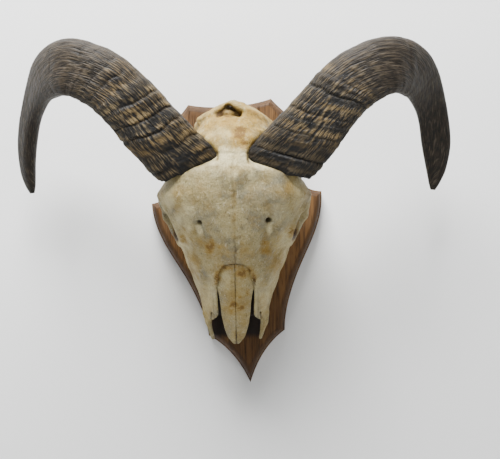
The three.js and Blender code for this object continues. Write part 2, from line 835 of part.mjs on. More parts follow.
for (const side of Object.keys(HORN_SIDES)) {
  ['base', 'bend', 'tip'].forEach((part, i) => {
    const from = HORN.cuts[i] + (i > 0 ? HORN.cutGap : 0);
    skull.add(meshOf(`horn_${side}_${part}`, 'horn', hornLength(side, from, HORN.cuts[i + 1], 0)));
  });
}

export default skull;
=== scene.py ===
# A ram's skull with both horns, fixed to an oak shield plaque that hangs on a wall.
# Shapes are worked out in millimetres and put into the scene in metres.
# Places on the skull are (across, up, out): out is measured from the plaque's front face.

import math

import bmesh
import bpy
import numpy as np
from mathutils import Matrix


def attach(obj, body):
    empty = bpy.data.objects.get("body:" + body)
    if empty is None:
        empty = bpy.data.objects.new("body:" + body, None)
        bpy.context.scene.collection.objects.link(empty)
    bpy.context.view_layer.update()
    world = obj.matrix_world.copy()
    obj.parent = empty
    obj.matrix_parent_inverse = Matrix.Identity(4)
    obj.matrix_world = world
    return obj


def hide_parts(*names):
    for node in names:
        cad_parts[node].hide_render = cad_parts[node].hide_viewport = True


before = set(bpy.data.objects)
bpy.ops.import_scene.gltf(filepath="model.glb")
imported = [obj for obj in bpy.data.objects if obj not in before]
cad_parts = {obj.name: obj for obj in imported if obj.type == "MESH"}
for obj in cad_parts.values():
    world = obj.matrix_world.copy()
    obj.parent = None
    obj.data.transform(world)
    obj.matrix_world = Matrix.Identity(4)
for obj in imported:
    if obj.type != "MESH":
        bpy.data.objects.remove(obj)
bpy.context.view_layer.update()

# ---- sizes, in millimetres

MM = 0.001
THICKNESS = 19.0  # of the plaque

GRID = {"pitch": 0.9, "half_width": 70, "up": (-90, 130), "out": (1, 114)}

FACE = {
    "back": 80, "front": -69.5, "wall": 6, "underside": 3.0,
    "width": [(-70, 25.5), (-62, 29), (-49, 32.3), (-30, 38.5), (-18, 42.5), (-5, 44), (6, 47),
              (14, 50), (23, 53), (32, 57.5), (38, 62.5), (42, 63), (50, 58.5), (58, 53),
              (75, 42)],
    "widest": [(-70, 25), (-40, 29), (-15, 38), (5, 58), (20, 72), (40, 76), (60, 78), (75, 68)],
    "roof": [(-92, 40), (-65, 57), (-40, 72.5), (-15, 86), (10, 97.5), (35, 106), (55, 110),
             (68, 109), (80, 105)],
    "floor": [(-70, 21), (-40, 19), (5, 20), (20, 26), (40, 36), (60, 40), (75, 42)],
    "roundness": [(-70, 1.75), (-40, 1.8), (-15, 2.0), (10, 2.3), (40, 2.5), (75, 2.5)],
}
BRAINCASE = {"centre": (0, 83, 56), "radii": (34, 39, 48), "below": 34, "back": 120.5}
CREST = [((0, 116, 75), 5.5), ((10, 109.5, 72), 5), ((22, 105, 63), 5.5), ((28, 101, 50), 6)]
CREST_LIP = [((-29, 105.5, 66), 3.2), ((-24, 107.5, 71), 3.2), ((-16, 108.6, 80), 3.2),
             ((-9, 111, 87), 3.4), ((-3.5, 114.4, 91), 3.8), ((3.5, 112, 90), 3.6),
             ((13.5, 108.6, 83), 3.3), ((22, 106, 72), 3.3), ((26.5, 100, 64), 3.3)]
CREST_PIT = {"stops": [((-12.5, 106.3, 0), 1.6), ((-4, 110.2, 0), 4.2), ((4, 106.8, 0), 2.0)],
             "floor": 88.2}
CREST_LUMP = ((-3.8, 107.6, 86.5), (5.2, 3.0, 5.4))
ORBIT = {
    "centre": (53.8, 20.5, 58), "radius": 20.5, "rim": 3.8, "facing": (1, -0.44, 0.2),
    "hollow": ((63, 18, 58), (24, 18.5, 19)), "cone": ((46, 30, 54), (19, 15, 13)),
}
BROW_CORNER = [((55, 48, 80), 3), ((61.5, 41, 76), 2.2), ((57, 31, 76), 2.6)]
FACE_GROOVE = [((31, 9, 95), 2.2), ((26, -8, 90), 2.6), ((21.5, -25, 82), 2.0)]
FACE_RIDGE = [((43, 2, 52), 3.5), ((36, -12, 62), 2.6), ((30, -33, 58), 2.0)]
TEMPLE = ((58, 70, 51), (23, 28, 24))
CHEEK = [((60, 24, 38), 4.4), ((59, 42, 36), 4.2), ((53, 62, 37), 4.2), ((44, 78, 40), 5),
         ((31, 88, 44), 6)]
CHEEK_ROOT = [((45, 4, 44), 6), ((36, -16, 32), 5)]
HORN_SEAT = [((30, 60, 82), 20), ((42, 72, 92), 15)]
SADDLE = [((3.4, 54, 98.5), 9.6), ((3.6, 72, 96.5), 9.8), ((6, 90, 91), 9.5)]
SADDLE_SIDE = [((13.2, 66, 96), 4.4), ((14.5, 80, 92.5), 4.4)]
KEEL = [((0, 32, 42), 9), ((0, 70, 32), 9), ((0, 112, 30), 11)]
BULLA = ((20, 94, 25), (9, 12, 11))
MASTOID = ((26, 98, 42), (8, 12, 14))
CONDYLE = ((12, 113, 27), (8.5, 8, 10))
MAGNUM = ((0, 128, 39), (9, 16, 8.5))
SPUR = [((25, 107, 36), 7), ((23, 109, 16), 4.5), ((20, 106, 4), 2.4)]
WING = [((12, 10, 26), 3), ((12, 24, 19), 3), ((11, 44, 40), 3)]
SPLINT = [((26, -52, 36), 3.4), ((26.4, -62, 34), 3.6), ((25.0, -71, 31), 3.0),
          ((23.4, -78, 28), 2.0), ((21.4, -86, 25.5), 1.1)]
NOSE = {
    "cavity_back": -24, "notch_end": -22, "floor_end": -66, "notch_floor": 40,
    "notch": [(-80, 26), (-71, 23.5), (-68.5, 21), (-66.3, 18.6), (-64.5, 16.8), (-62, 15.7),
              (-43, 15.8), (-36, 14), (-22, 12)],
    "floor": [(-80, 24), (-66, 22)],
    "slit": {"stops": [((21.3, -61, 0), 0.55), ((22.3, -67, 0), 0.55)], "floor": 44},
}
FORAMEN = {"left": (-28.5, 18.5), "right": (28.2, 19.5), "radius": 2.3, "depth": 8, "run": 9}

NASAL = {
    "tip": -89.5, "root": -17, "drop": 8, "arch": 0.027, "thickness": 4.6, "edge": 0.45,
    "half": [(-89.5, 3.4), (-87, 5.6), (-80, 8.8), (-72, 10.9), (-60, 12.8), (-49, 13.8),
             (-40, 15.4), (-31, 17.6), (-17, 17.6)],
    "pitch": 0.6, "gap": 0.32,
}
TEETH = {"front": (22.5, -54), "back": (29, 17), "bow": 2.5, "half": (4.6, 7.4), "count": 6,
         "crown": 24, "pitch": 0.7}

HORN = {
    "path": [(35.3, 65.2, 89.6), (59, 90, 103), (96, 129, 113), (126, 143, 108), (152, 140, 85),
             (171, 119, 58), (180.5, 91, 42), (182.5, 66, 34), (180, 46, 31)],
    "width": [(0, 28.6), (0.2, 28.1), (0.4, 26.6), (0.55, 24), (0.66, 18), (0.74, 15),
              (0.85, 12.5), (0.93, 9.2), (0.975, 5.4), (1, 2.2)],
    "depth": [(0, 18.5), (0.2, 18), (0.42, 16.5), (0.55, 12.5), (0.66, 9.2), (0.74, 8.2),
              (0.85, 8), (0.93, 6.6), (0.975, 4.4), (1, 2)],
    "slant": [(0, 0.4), (0.3, 0.3), (0.6, 0)],
    "keel": 0.2, "squareness": [(0, 0.56), (0.35, 0.8), (1, 0.82)],
    "outward": (0.25, -1, 0.1), "around": 200, "rows": 420, "frames": 480,
    "inset": [(0, 0.2), (0.3, 0.5), (0.45, 0.75), (1, 0.75)],
    "swell": [(0, 1), (0.25, 0.8), (0.6, 0.25), (1, 0)],
    "seat": 1.6, "bury": 3.2, "front": 1.5,
}
HORN_SIDES = {
    "right": {"mirror": 1, "shift": -1.5, "seed": 11, "splay": 2.2, "flare": 0.09,
              "slant": 1.2, "tuck": 1.8, "tip": 0.17,
              "tan": [(0, 0.2), (0.08, 0.3), (0.15, 0.75), (0.27, 0.9), (0.38, 0.4), (1, 0.3)],
              "twist": [(0, 0), (0.45, 0.1), (0.8, 1), (1, 1)]},
    "left": {"mirror": -1, "shift": 2, "seed": 23, "splay": 0, "flare": 0.02,
             "slant": 0.92, "tuck": 0, "tip": 0.03,
             "tan": [(0, 0.6), (0.06, 0.85), (0.2, 1), (0.33, 0.9), (0.45, 0.5), (1, 0.4)],
             "twist": [(0, 0), (1, 0.1)]},
}

PLAQUE = {
    "turn": math.radians(3.8), "shift": 3.3, "lip": 10.5, "lip_width": 1.3, "cove": 5.6,
    "round": 0.9, "cove_steps": 10, "curve_steps": 18, "sharp": 0.97, "crease": math.radians(28),
    "top": (0, 128.2),
    "curves": [
        [(22, 128.2), (39.2, 132.8)], [(47, 123), (57, 114)], [(52, 92), (57, 66)],
        [(60, 44), (80.4, 42.2)], [(80.4, 13), (64, -8), (52, -33)],
        [(44, -50), (37, -68), (36, -85.8)], [(12, -101), (0, -133)],
    ],
}
# A painted shadow darkens the wood under the nose: each pair is where the shadow begins and is
# full.
NOSE_SHADOW = {"middle": 1, "aside": (26.5, 22.5), "below": (-91.5, -84.5), "above": (-26, -30)}

# ---- numbers


def along(stations, at):
    """A smooth curve through (at, value) stations, level beyond both ends."""
    x, y = np.array(stations, float).T
    last = len(x) - 1
    before = np.maximum(np.arange(last + 1) - 1, 0)
    after = np.minimum(np.arange(last + 1) + 1, last)
    slope = (y[after] - y[before]) / (x[after] - x[before])
    i = np.clip(np.searchsorted(x, at) - 1, 0, last - 1)
    span = x[i + 1] - x[i]
    t = held((at - x[i]) / span)
    rise = y[i + 1] - y[i]
    bend = slope[i] * span - rise
    straighten = rise - slope[i + 1] * span
    return y[i] + rise * t + t * (1 - t) * (bend * (1 - t) + straighten * t)


def noise(points, size, seed):
    """Smooth random values from -1 to 1, with features of about the given size."""
    cells = 32
    lattice = np.random.default_rng(seed).uniform(-1, 1, (cells,) * 3)
    p = points / size
    base = np.floor(p).astype(int)
    t = p - base
    t = t * t * (3 - 2 * t)
    total = np.zeros(len(points))
    for corner in CORNERS:
        weight = np.prod(np.where(corner, t, 1 - t), axis=1)
        i = (base + corner) % cells
        total += weight * lattice[i[:, 0], i[:, 1], i[:, 2]]
    return total


def unit(vector):
    vector = np.asarray(vector, float)
    return vector / np.linalg.norm(vector, axis=-1, keepdims=True)


def held(values):
    """Values kept between 0 and 1."""
    return np.clip(values, 0, 1)


def bump(distance, width):
    """One at zero distance, falling smoothly to nothing over a few widths."""
    return np.exp(-(distance / width) ** 2)


# ---- distance functions
# A point p is (across, up, out), each an array or a number.


def ellipsoid(p, centre, radii):
    q = [(v - c) / r for v, c, r in zip(p, centre, radii)]
    near = np.sqrt(sum(v * v for v in q))
    steep = np.sqrt(sum((v / r) ** 2 for v, r in zip(q, radii)))
    return near * (near - 1) / np.maximum(steep, 1e-6)


def bar(p, start, end):
    (a, a_radius), (b, b_radius) = start, end
    run = [t - s for s, t in zip(a, b)]
    q = [v - s for v, s in zip(p, a)]
    share = held(sum(r * v for r, v in zip(run, q)) / sum(r * r for r in run))
    miss = np.sqrt(sum((v - r * share) ** 2 for v, r in zip(q, run)))
    return miss - (a_radius + (b_radius - a_radius) * share)


def chain(p, stops):
    nearest = bar(p, stops[0], stops[1])
    for start, end in zip(stops[1:], stops[2:]):
        nearest = np.minimum(nearest, bar(p, start, end))
    return nearest


def ring(p, centre, facing, radius, rim):
    facing = unit(facing)
    q = [v - c for v, c in zip(p, centre)]
    lift = sum(v * f for v, f in zip(q, facing))
    flat = np.sqrt(np.maximum(sum(v * v for v in q) - lift * lift, 0))
    return np.sqrt((flat - radius) ** 2 + lift ** 2) - rim


def join(a, b, blend):
    share = np.maximum(blend - np.abs(a - b), 0) / blend
    return np.minimum(a, b) - share * share * blend / 4


def carve(solid, hollow, blend):
    return -join(-solid, hollow, blend)


def meet(a, b, blend):
    return -join(-a, -b, blend)


# ---- the skull as a field


def face_section(up):
    widest = along(FACE["widest"], up)
    return {
        "width": along(FACE["width"], up), "widest": widest,
        "rise": along(FACE["roof"], up) - widest,
        "drop": widest - along(FACE["floor"], up),
        "power": along(FACE["roundness"], up),
    }


def face_loft(p, wall=0):
    across, up, out = p
    s = face_section(up)
    width = s["width"] - wall
    above = out > s["widest"]
    reach = np.maximum(np.where(above, s["rise"], s["drop"]) - wall, 0.5)
    power = np.where(above, s["power"], FACE["underside"])
    flat = (np.abs(across) / width) ** power + (np.abs(out - s["widest"]) / reach) ** power
    return (flat ** (1 / power) - 1) * np.minimum(width, reach)


def roof_at(across, up):
    """How far out the forehead or nose lies at a place across and up."""
    s = face_section(up)
    share = held(np.abs(across) / s["width"])
    return s["widest"] + s["rise"] * (1 - share ** s["power"]) ** (1 / s["power"])


def braincase(p):
    x, z, h = BRAINCASE["radii"]
    height = np.where(p[2] > BRAINCASE["centre"][2], h, BRAINCASE["below"])
    dome = ellipsoid(p, BRAINCASE["centre"], (x, z, height))
    return carve(dome, BRAINCASE["back"] - p[1], 6)


def skull_base(p):
    solid = join(chain(p, KEEL), ellipsoid(p, *BULLA), 4)
    solid = join(solid, ellipsoid(p, *MASTOID), 6)
    return join(solid, ellipsoid(p, *CONDYLE), 3)


def horn_path(spec):
    """Stops along a horn's middle as (across, up, out), with its own shift and splay."""
    path = np.array(HORN["path"], float)
    path[:, 0] += spec["shift"]
    path[:3, 0] += spec["splay"] * np.array((1, 0.7, 0.25))
    path[-4:, 0] -= spec["tuck"] * np.array((0.3, 0.9, 1, 0.8))
    return path


def horn_socket(p, spec):
    """The room that a horn's base takes, and all that lies in front of it."""
    root, further = horn_path(spec)[:2]
    ahead = unit(further - root)
    outward = np.array(HORN["outward"], float)[[0, 2, 1]] * (1, 1, -1)
    face = unit(outward - outward @ ahead * ahead)
    wide = np.cross(face, ahead)
    q = [v - c for v, c in zip(p, root)]
    far, across, deep = (sum(v * a for v, a in zip(q, axis)) for axis in (ahead, wide, face))
    half, thick = (HORN[key][0][1] - HORN["bury"] for key in ("width", "depth"))
    power = 2 / HORN["squareness"][0][1]
    depth = np.clip(deep / thick, -1, 1)
    lean = np.sign(depth) * np.abs(depth) ** (power / 2)
    half = half * (1 + HORN["keel"] * lean) / (1 + HORN["keel"] / 2) * (1 + spec["flare"])
    depth = np.where(deep > 0, deep / HORN["front"], -deep) / thick
    flat = (np.abs(across) / half) ** power + depth ** power
    section = (flat ** (1 / power) - 1) * thick
    slant = HORN["slant"][0][1] * spec["slant"]
    return np.maximum(section, HORN["seat"] - far - across * slant)


def nasal_field(p, grow=0.0):
    """Both nasal bones as one plate, with a notch between their tips."""
    across, up, out = p
    half = along(NASAL["half"], up) + grow
    share = held(across / half)
    top = along(FACE["roof"], up) - NASAL["arch"] * across ** 2
    thick = NASAL["thickness"] * (1 + (NASAL["edge"] - 1) * share ** 2)
    slab = np.abs(out - top + thick / 2) - thick / 2 - grow
    side = (across - half) * 0.95
    root = up - NASAL["root"] - grow + NASAL["drop"] * share ** 3
    tip = NASAL["tip"] - grow + 3.5 * np.clip((across - 1.6) / 4, -0.5, 1) ** 2 - up
    sides = meet(meet(side, tip, 2.5), root, 2)
    return meet(slab, sides, 1.4)


def foramen(p, x, z):
    """The hole above one eye, and the groove that runs down from it."""
    f = FORAMEN
    h = float(roof_at(x, z))
    inner = (x - math.copysign(2.5, x), z + 3, h - f["depth"])
    pit = bar(p, ((x, z - 0.5, h - 1.5), f["radius"]), (inner, 1.2))
    foot = (x * 1.05, z - f["run"])
    groove = bar(p, ((x, z - 1, h + 1.2), 2.4), ((*foot, float(roof_at(*foot)) + 2), 2.2))
    return pit, groove


def with_crest(solid, p, sided):
    """The solid with its rear crest, the uneven lip and recess in it, and the hole below."""
    signed, up, out = sided
    solid = join(solid, chain(p, CREST), 6)
    solid = join(solid, chain(sided, CREST_LIP), 5)
    flat = chain((signed, up, 0 * out), CREST_PIT["stops"])
    solid = carve(solid, np.maximum(flat, CREST_PIT["floor"] - out), 4)
    solid = join(solid, ellipsoid(sided, *CREST_LUMP), 2)
    return carve(solid, ellipsoid(p, *MAGNUM), 3)


def with_nose(solid, p):
    """The solid with the hollow of the nose, its opening and the seat of the nasal bones."""
    across, up, out = p
    cavity = meet(face_loft(p, FACE["wall"]), up - NOSE["cavity_back"], 6)
    notch = np.maximum(across - along(NOSE["notch"], up), NOSE["notch_floor"] - out)
    floor = np.maximum(across - along(NOSE["floor"], up), out - NOSE["notch_floor"])
    solid = carve(solid, cavity, 2)
    solid = carve(solid, np.maximum(notch, up - NOSE["notch_end"]), 1.2)
    solid = carve(solid, np.maximum(floor, up - NOSE["floor_end"]), 1.2)
    return carve(solid, nasal_field(p, NASAL["gap"]), 0.3)


def skull_field(sided):
    """Distance to the cranium's surface, less than zero inside the bone."""
    signed, up, out = sided
    across = np.sqrt(signed ** 2 + 0.01)
    p = (across, up, out)
    solid = meet(face_loft(p), up - FACE["back"], 14)
    solid = np.maximum(solid, FACE["front"] - up)
    solid = join(solid, bar(p, *HORN_SEAT), 8)
    solid = join(solid, braincase(p), 22)
    for hollow, blend in ((TEMPLE, 6), (ORBIT["hollow"], 4), (ORBIT["cone"], 4)):
        solid = carve(solid, ellipsoid(p, *hollow), blend)
    solid = join(solid, bar(p, *CHEEK_ROOT), 6)
    solid = join(solid, skull_base(p), 6)
    solid = with_nose(with_crest(solid, p, sided), p)
    for spec in HORN_SIDES.values():
        solid = carve(solid, horn_socket((signed * spec["mirror"], up, out), spec), 4)
    solid = join(solid, chain(p, SADDLE), 6)
    solid = join(solid, bar(p, *SADDLE_SIDE), 3)
    o = ORBIT
    solid = join(solid, ring(p, o["centre"], o["facing"], o["radius"], o["rim"]), 3)
    for stops, blend in ((CHEEK, 3), (BROW_CORNER, 5), (SPLINT, 2), (SPUR, 3), (WING, 3)):
        solid = join(solid, chain(p, stops), blend)
    slit = chain((across, up, 0 * out), NOSE["slit"]["stops"])
    solid = carve(solid, np.maximum(slit, NOSE["slit"]["floor"] - out), 0.4)
    for side in ("left", "right"):
        pit, groove = foramen(sided, *FORAMEN[side])
        solid = carve(carve(solid, pit, 0.8), groove, 2)
    return solid


# ---- surface of a field

CORNERS = np.array([(i & 1, i >> 1 & 1, i >> 2 & 1) for i in range(8)])
EDGES = [(a, a | bit) for a in range(8) for bit in (1, 2, 4) if not a & bit]


def surface_of(values, low, pitch):
    """Points and four-sided faces of the closed surface where a sampled field is zero."""
    inside = values < 0
    mixed = np.zeros(tuple(n - 1 for n in values.shape), bool)
    first = inside[:-1, :-1, :-1]
    for a, b, c in CORNERS[1:]:
        sizes = mixed.shape
        mixed |= inside[a:a + sizes[0], b:b + sizes[1], c:c + sizes[2]] != first
    cells = np.argwhere(mixed)
    at = np.stack([values[tuple((cells + corner).T)] for corner in CORNERS], 1)
    total = np.zeros((len(cells), 3))
    hits = np.zeros(len(cells))
    for a, b in EDGES:
        crossed = (at[:, a] < 0) != (at[:, b] < 0)
        share = np.where(crossed, at[:, a] / np.where(crossed, at[:, a] - at[:, b], 1), 0)
        spot = CORNERS[a] + (CORNERS[b] - CORNERS[a]) * share[:, None]
        total += spot * crossed[:, None]
        hits += crossed
    points = low + (cells + total / hits[:, None]) * pitch
    number = np.full(mixed.shape, -1)
    number[tuple(cells.T)] = np.arange(len(cells))
    quads = []
    for axis in range(3):
        near = tuple(slice(None, -1) if d == axis else slice(1, -1) for d in range(3))
        far = tuple(slice(1, None) if d == axis else slice(1, -1) for d in range(3))
        lower = inside[near]
        edges = np.argwhere(lower != inside[far])
        starts_inside = lower[tuple(edges.T)]
        edges = edges + [0 if d == axis else 1 for d in range(3)]
        u, v = np.eye(3, dtype=int)[[(axis + 1) % 3, (axis + 2) % 3]]
        around = [number[tuple((edges - back).T)] for back in (0 * u, u, u + v, v)]
        quad = np.stack(around, 1)
        quads.append(np.where(starts_inside[:, None], quad, quad[:, ::-1]))
    return points, np.concatenate(quads)


def largest_part(points, quads):
    label = np.arange(len(points))
    while True:
        lowest = label.copy()
        np.minimum.at(lowest, quads.ravel(), np.repeat(label[quads].min(1), 4))
        lowest = lowest[lowest]
        if (lowest == label).all():
            break
        label = lowest
    main = np.bincount(label).argmax()
    keep = label == main
    renumber = np.cumsum(keep) - 1
    return points[keep], renumber[quads[keep[quads[:, 0]]]]


def mesh_field(field, low, high, pitch, rounds=2):
    """The surface of a field within a box, with its points moved onto the exact surface."""
    axes = [np.arange(a, b + pitch, pitch) for a, b in zip(low, high)]
    grids = np.meshgrid(*axes, indexing="ij", sparse=True)
    values = np.broadcast_to(field(tuple(grids)), tuple(len(a) for a in axes))
    values = np.pad(values[1:-1, 1:-1, 1:-1], 1, constant_values=pitch)
    points, quads = largest_part(*surface_of(values, np.array(low, float), pitch))
    probe = 0.05
    for _ in range(rounds):
        here = field(tuple(points.T))
        slope = np.stack([
            (field(tuple((points + probe * step).T)) - here) / probe for step in np.eye(3)
        ], 1)
        steep = np.maximum(np.linalg.norm(slope, axis=1), 0.3)
        push = np.clip(here / steep, -0.3 * pitch, 0.3 * pitch)
        points = points - slope / steep[:, None] * push[:, None]
    return points, quads


def point_normals(points, quads):
    a, b, c, d = (points[quads[:, i]] for i in range(4))
    face = np.cross(c - a, d - b)
    total = np.stack([np.bincount(quads.ravel(), np.repeat(part, 4), len(points))
                      for part in face.T], 1)
    length = np.linalg.norm(total, axis=1, keepdims=True)
    return total / np.maximum(length, 1e-9)


def blurred(values, quads, rounds):
    """Values spread along the surface's edges."""
    count = len(values)
    a = quads.ravel()
    b = np.roll(quads, -1, axis=1).ravel()
    degree = np.bincount(a, minlength=count) + np.bincount(b, minlength=count)
    for _ in range(rounds):
        total = np.bincount(a, values[b], count) + np.bincount(b, values[a], count)
        values = 0.5 * values + 0.5 * total / np.maximum(degree, 1)
    return values


# ---- pieces


def placed(points):
    """From (across, up, out) in millimetres to the scene's metres."""
    across, up, out = np.asarray(points, float).T
    return np.stack([across, -THICKNESS - out, up], 1) * MM


def put(name, data, place=(0, 0, 0), turn=(0, 0, 0)):
    thing = bpy.data.objects.new(name, data)
    thing.location = place
    thing.rotation_euler = turn
    bpy.context.scene.collection.objects.link(thing)
    return thing


def add_piece(name, points, faces, material, nodes, masks):
    """A smooth mesh from points in metres, riding on the root in place of CAD nodes."""
    mesh = bpy.data.meshes.new(name)
    mesh.vertices.add(len(points))
    mesh.vertices.foreach_set("co", np.asarray(points, np.float32).ravel())
    sizes = np.array([len(face) for face in faces])
    corners = np.concatenate([np.ravel(face) for face in faces]).astype(np.int32)
    mesh.loops.add(len(corners))
    mesh.loops.foreach_set("vertex_index", corners)
    mesh.polygons.add(len(sizes))
    mesh.polygons.foreach_set("loop_start", (np.cumsum(sizes) - sizes).astype(np.int32))
    mesh.polygons.foreach_set("use_smooth", np.ones(len(sizes), bool))
    mesh.update(calc_edges=True)
    mesh.validate()
    for key, values in masks.items():
        values = np.asarray(values, np.float32)
        kind = "FLOAT_VECTOR" if values.ndim == 2 else "FLOAT"
        layer = mesh.attributes.new(key, kind, "POINT")
        layer.data.foreach_set("vector" if values.ndim == 2 else "value", values.ravel())
    mesh.materials.append(material)
    piece = put(name, mesh)
    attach(piece, "root")
    if nodes:
        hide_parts(*nodes)
    return piece


# ---- material building


class Nodes:
    """A short way to build a material: each method adds a node and gives its output."""

    def __init__(self, name):
        self.material = bpy.data.materials.new(name)
        self.material.use_nodes = True
        self.tree = self.material.node_tree
        self.tree.nodes.clear()

    def add(self, kind, inputs=(), output=0, **settings):
        node = self.tree.nodes.new(kind)
        for key, value in settings.items():
            setattr(node, key, value)
        for key, value in dict(inputs).items():
            if isinstance(value, bpy.types.NodeSocket):
                self.tree.links.new(value, node.inputs[key])
            else:
                node.inputs[key].default_value = value
        return node.outputs[output] if node.outputs else None

    def math(self, operation, a, b=0.0, clamp=False):
        return self.add("ShaderNodeMath", {0: a, 1: b}, operation=operation, use_clamp=clamp)

    def times(self, a, b, clamp=False):
        return self.math("MULTIPLY", a, b, clamp)

    def weighted(self, first, *others):
        """The sum of (value, weight) pairs."""
        total = self.times(*first)
        for pair in others:
            total = self.math("ADD", total, self.times(*pair))
        return total

    def attribute(self, name, output="Fac"):
        return self.add("ShaderNodeAttribute", output=output, attribute_name=name)

    def place(self, scale=(1, 1, 1), source=None):
        source = source or self.add("ShaderNodeTexCoord", output="Object")
        return self.add("ShaderNodeMapping", {"Vector": source, "Scale": scale})

    def noise(self, vector, scale, detail=3.0, rough=0.55, warp=0.0):
        return self.add("ShaderNodeTexNoise", {
            "Vector": vector, "Scale": scale, "Detail": detail, "Roughness": rough,
            "Distortion": warp,
        })

    def step(self, value, low, high, to_low=0.0, to_high=1.0):
        return self.add("ShaderNodeMapRange", {
            0: value, 1: low, 2: high, 3: to_low, 4: to_high,
        }, interpolation_type="SMOOTHSTEP")

    def mix(self, share, a, b):
        a, b = ((*color, 1) if isinstance(color, tuple) else color for color in (a, b))
        return self.add("ShaderNodeMix", {0: share, 6: a, 7: b}, output=2, data_type="RGBA")

    def coats(self, color, *coats):
        """A colour under coats, each of them a share and its own colour."""
        for share, coat in coats:
            color = self.mix(share, color, coat)
        return color

    def finish(self, color, roughness, height, strength, distance, level, ior=1.5):
        normal = self.add("ShaderNodeBump", {
            "Height": height, "Strength": strength, "Distance": distance,
        })
        shader = self.add("ShaderNodeBsdfPrincipled", {
            "Base Color": color, "Roughness": roughness, "Normal": normal, "IOR": ior,
            "Specular IOR Level": level,
        })
        self.add("ShaderNodeOutputMaterial", {0: shader})
        return self.material


def bone_material():
    """Dry bone: cream, grey weathering, ochre stains and fine pores, with painted highlights on the
    pale patches and painted shade in the hollows.
    """
    n = Nodes("bone")
    place = n.place()
    broad = n.noise(place, 46, 5, 0.65)
    medium = n.noise(place, 130, 4, 0.6)
    fine = n.noise(place, 760, 3, 0.7)
    speck = n.noise(place, 1300, 2, 0.5)
    cracks = n.noise(n.place((1, 1, 0.4)), 480, 4, 0.75, 1.2)
    warm = n.times(n.attribute("warm"), n.step(medium, 0.3, 0.55, 0.45, 0.95))
    pale = n.times(n.attribute("pale"), n.step(fine, 0.7, 0.4, 0.55, 1.0))
    patchy = n.step(n.weighted((medium, 0.7), (fine, 0.5)), 0.42, 0.72, 0.35, 1.25)
    stain_and_shade = n.times(n.attribute("ochre"), patchy, clamp=True)
    pits = n.times(n.step(speck, 0.64, 0.74, 0, 0.6), n.step(broad, 0.35, 0.6, 0.2, 1))
    color = n.coats(
        (0.33, 0.275, 0.13),
        (n.step(broad, 0.42, 0.66), (0.17, 0.158, 0.105)),
        (warm, (0.39, 0.25, 0.038)),
        (n.step(medium, 0.46, 0.66, 0, 0.7), (0.25, 0.185, 0.075)),
        (n.step(fine, 0.50, 0.70, 0, 0.6), (0.12, 0.09, 0.042)),
        (n.step(cracks, 0.56, 0.66, 0, 0.55), (0.085, 0.062, 0.032)),
        (n.step(cracks, 0.44, 0.34, 0, 0.6), (0.50, 0.46, 0.32)),
        # Pale bone and painted highlights.
        (pale, (0.68, 0.60, 0.34)),
        # Ochre stains, and painted shade in creases, eye sockets and the crest pit.
        (n.times(stain_and_shade, 1.3, clamp=True), (0.255, 0.15, 0.022)),
        (n.step(stain_and_shade, 0.55, 1.0, 0, 0.75), (0.115, 0.055, 0.008)),
        (pits, (0.085, 0.055, 0.03)),
        # Painted shade in the hollows, with the dark seams.
        (n.attribute("dark"), (0.016, 0.008, 0.004)))
    height = n.weighted((fine, 0.6), (pits, -0.8), (medium, 0.8), (cracks, -0.8))
    rough = n.step(medium, 0.3, 0.7, 0.58, 0.78)
    return n.finish(color, rough, height, 0.8, 0.0011, level=0.35)


def enamel_material():
    """Cheek teeth: ivory enamel with brown streaks, darker where the teeth meet."""
    n = Nodes("tooth_enamel")
    place = n.place((1, 1, 0.25))
    streak = n.noise(place, 420, 3, 0.6)
    fine = n.noise(n.place(), 900, 2, 0.5)
    color = n.mix(n.step(streak, 0.4, 0.7), (0.66, 0.58, 0.40), (0.38, 0.26, 0.13))
    color = n.mix(n.attribute("dark"), color, (0.06, 0.035, 0.02))
    rough = n.step(fine, 0.3, 0.7, 0.3, 0.5)
    return n.finish(color, rough, streak, 0.4, 0.0003, level=0.5, ior=1.6)


def horn_material():
    """Keratin: near-black with tan streaky growth bands at the base, grey-brown beyond."""
    n = Nodes("horn_keratin")
    grain = n.attribute("grain", "Vector")
    share = n.attribute("share")
    band = n.attribute("band")
    fibre = n.noise(n.place((0.13, 1, 1), grain), 900, 3, 0.8)
    thread = n.noise(n.place((0.05, 1, 1), grain), 2100, 1, 0.6)
    blotch = n.noise(n.place((1, 0.35, 1), grain), 70, 4, 0.65, 0.3)
    streak = n.noise(n.place((1, 0.16, 1), grain), 190, 3, 0.6, 0.5)
    light = n.step(fibre, 0.35, 0.65)
    base = n.mix(light, (0.005, 0.0055, 0.0065), (0.026, 0.022, 0.016))
    bend = n.mix(light, (0.014, 0.011, 0.008), (0.047, 0.036, 0.025))
    tip = n.mix(light, (0.008, 0.006, 0.004), (0.028, 0.021, 0.014))
    threads = n.weighted((fibre, 0.25), (thread, 1.3))
    worn = n.step(n.weighted((band, 0.8), (streak, 0.8), (threads, 1.9)), 1.84, 2.62)
    fade = n.step(share, 0.46, 0.24, 0.10, 0.9)
    worn = n.times(n.times(worn, fade), n.attribute("tan"), clamp=True)
    tan = n.mix(n.step(blotch, 0.4, 0.6), (0.215, 0.14, 0.052), (0.23, 0.172, 0.088))
    scrape = n.times(n.step(thread, 0.56, 0.70), n.step(share, 0.1, 0.4, 0.10, 0.22))
    color = n.coats(
        base,
        (n.step(share, 0.20, 0.44), bend),
        (n.step(share, 0.60, 0.76), tip),
        (worn, tan),
        (scrape, (0.17, 0.14, 0.10)),
        (n.step(thread, 0.46, 0.36, 0, 0.7), (0.006, 0.005, 0.004)),
        # Painted shade along the base rim and in the growth grooves.
        (n.attribute("edge"), (0.004, 0.0035, 0.003)))
    height = n.weighted((fibre, 1.0), (thread, 0.6))
    height = n.times(height, n.step(share, 0.2, 0.5, 1.0, 0.45))
    rough = n.step(fibre, 0.3, 0.7, 0.5, 0.72)
    return n.finish(color, rough, height, 1.0, 0.0016, level=0.25)


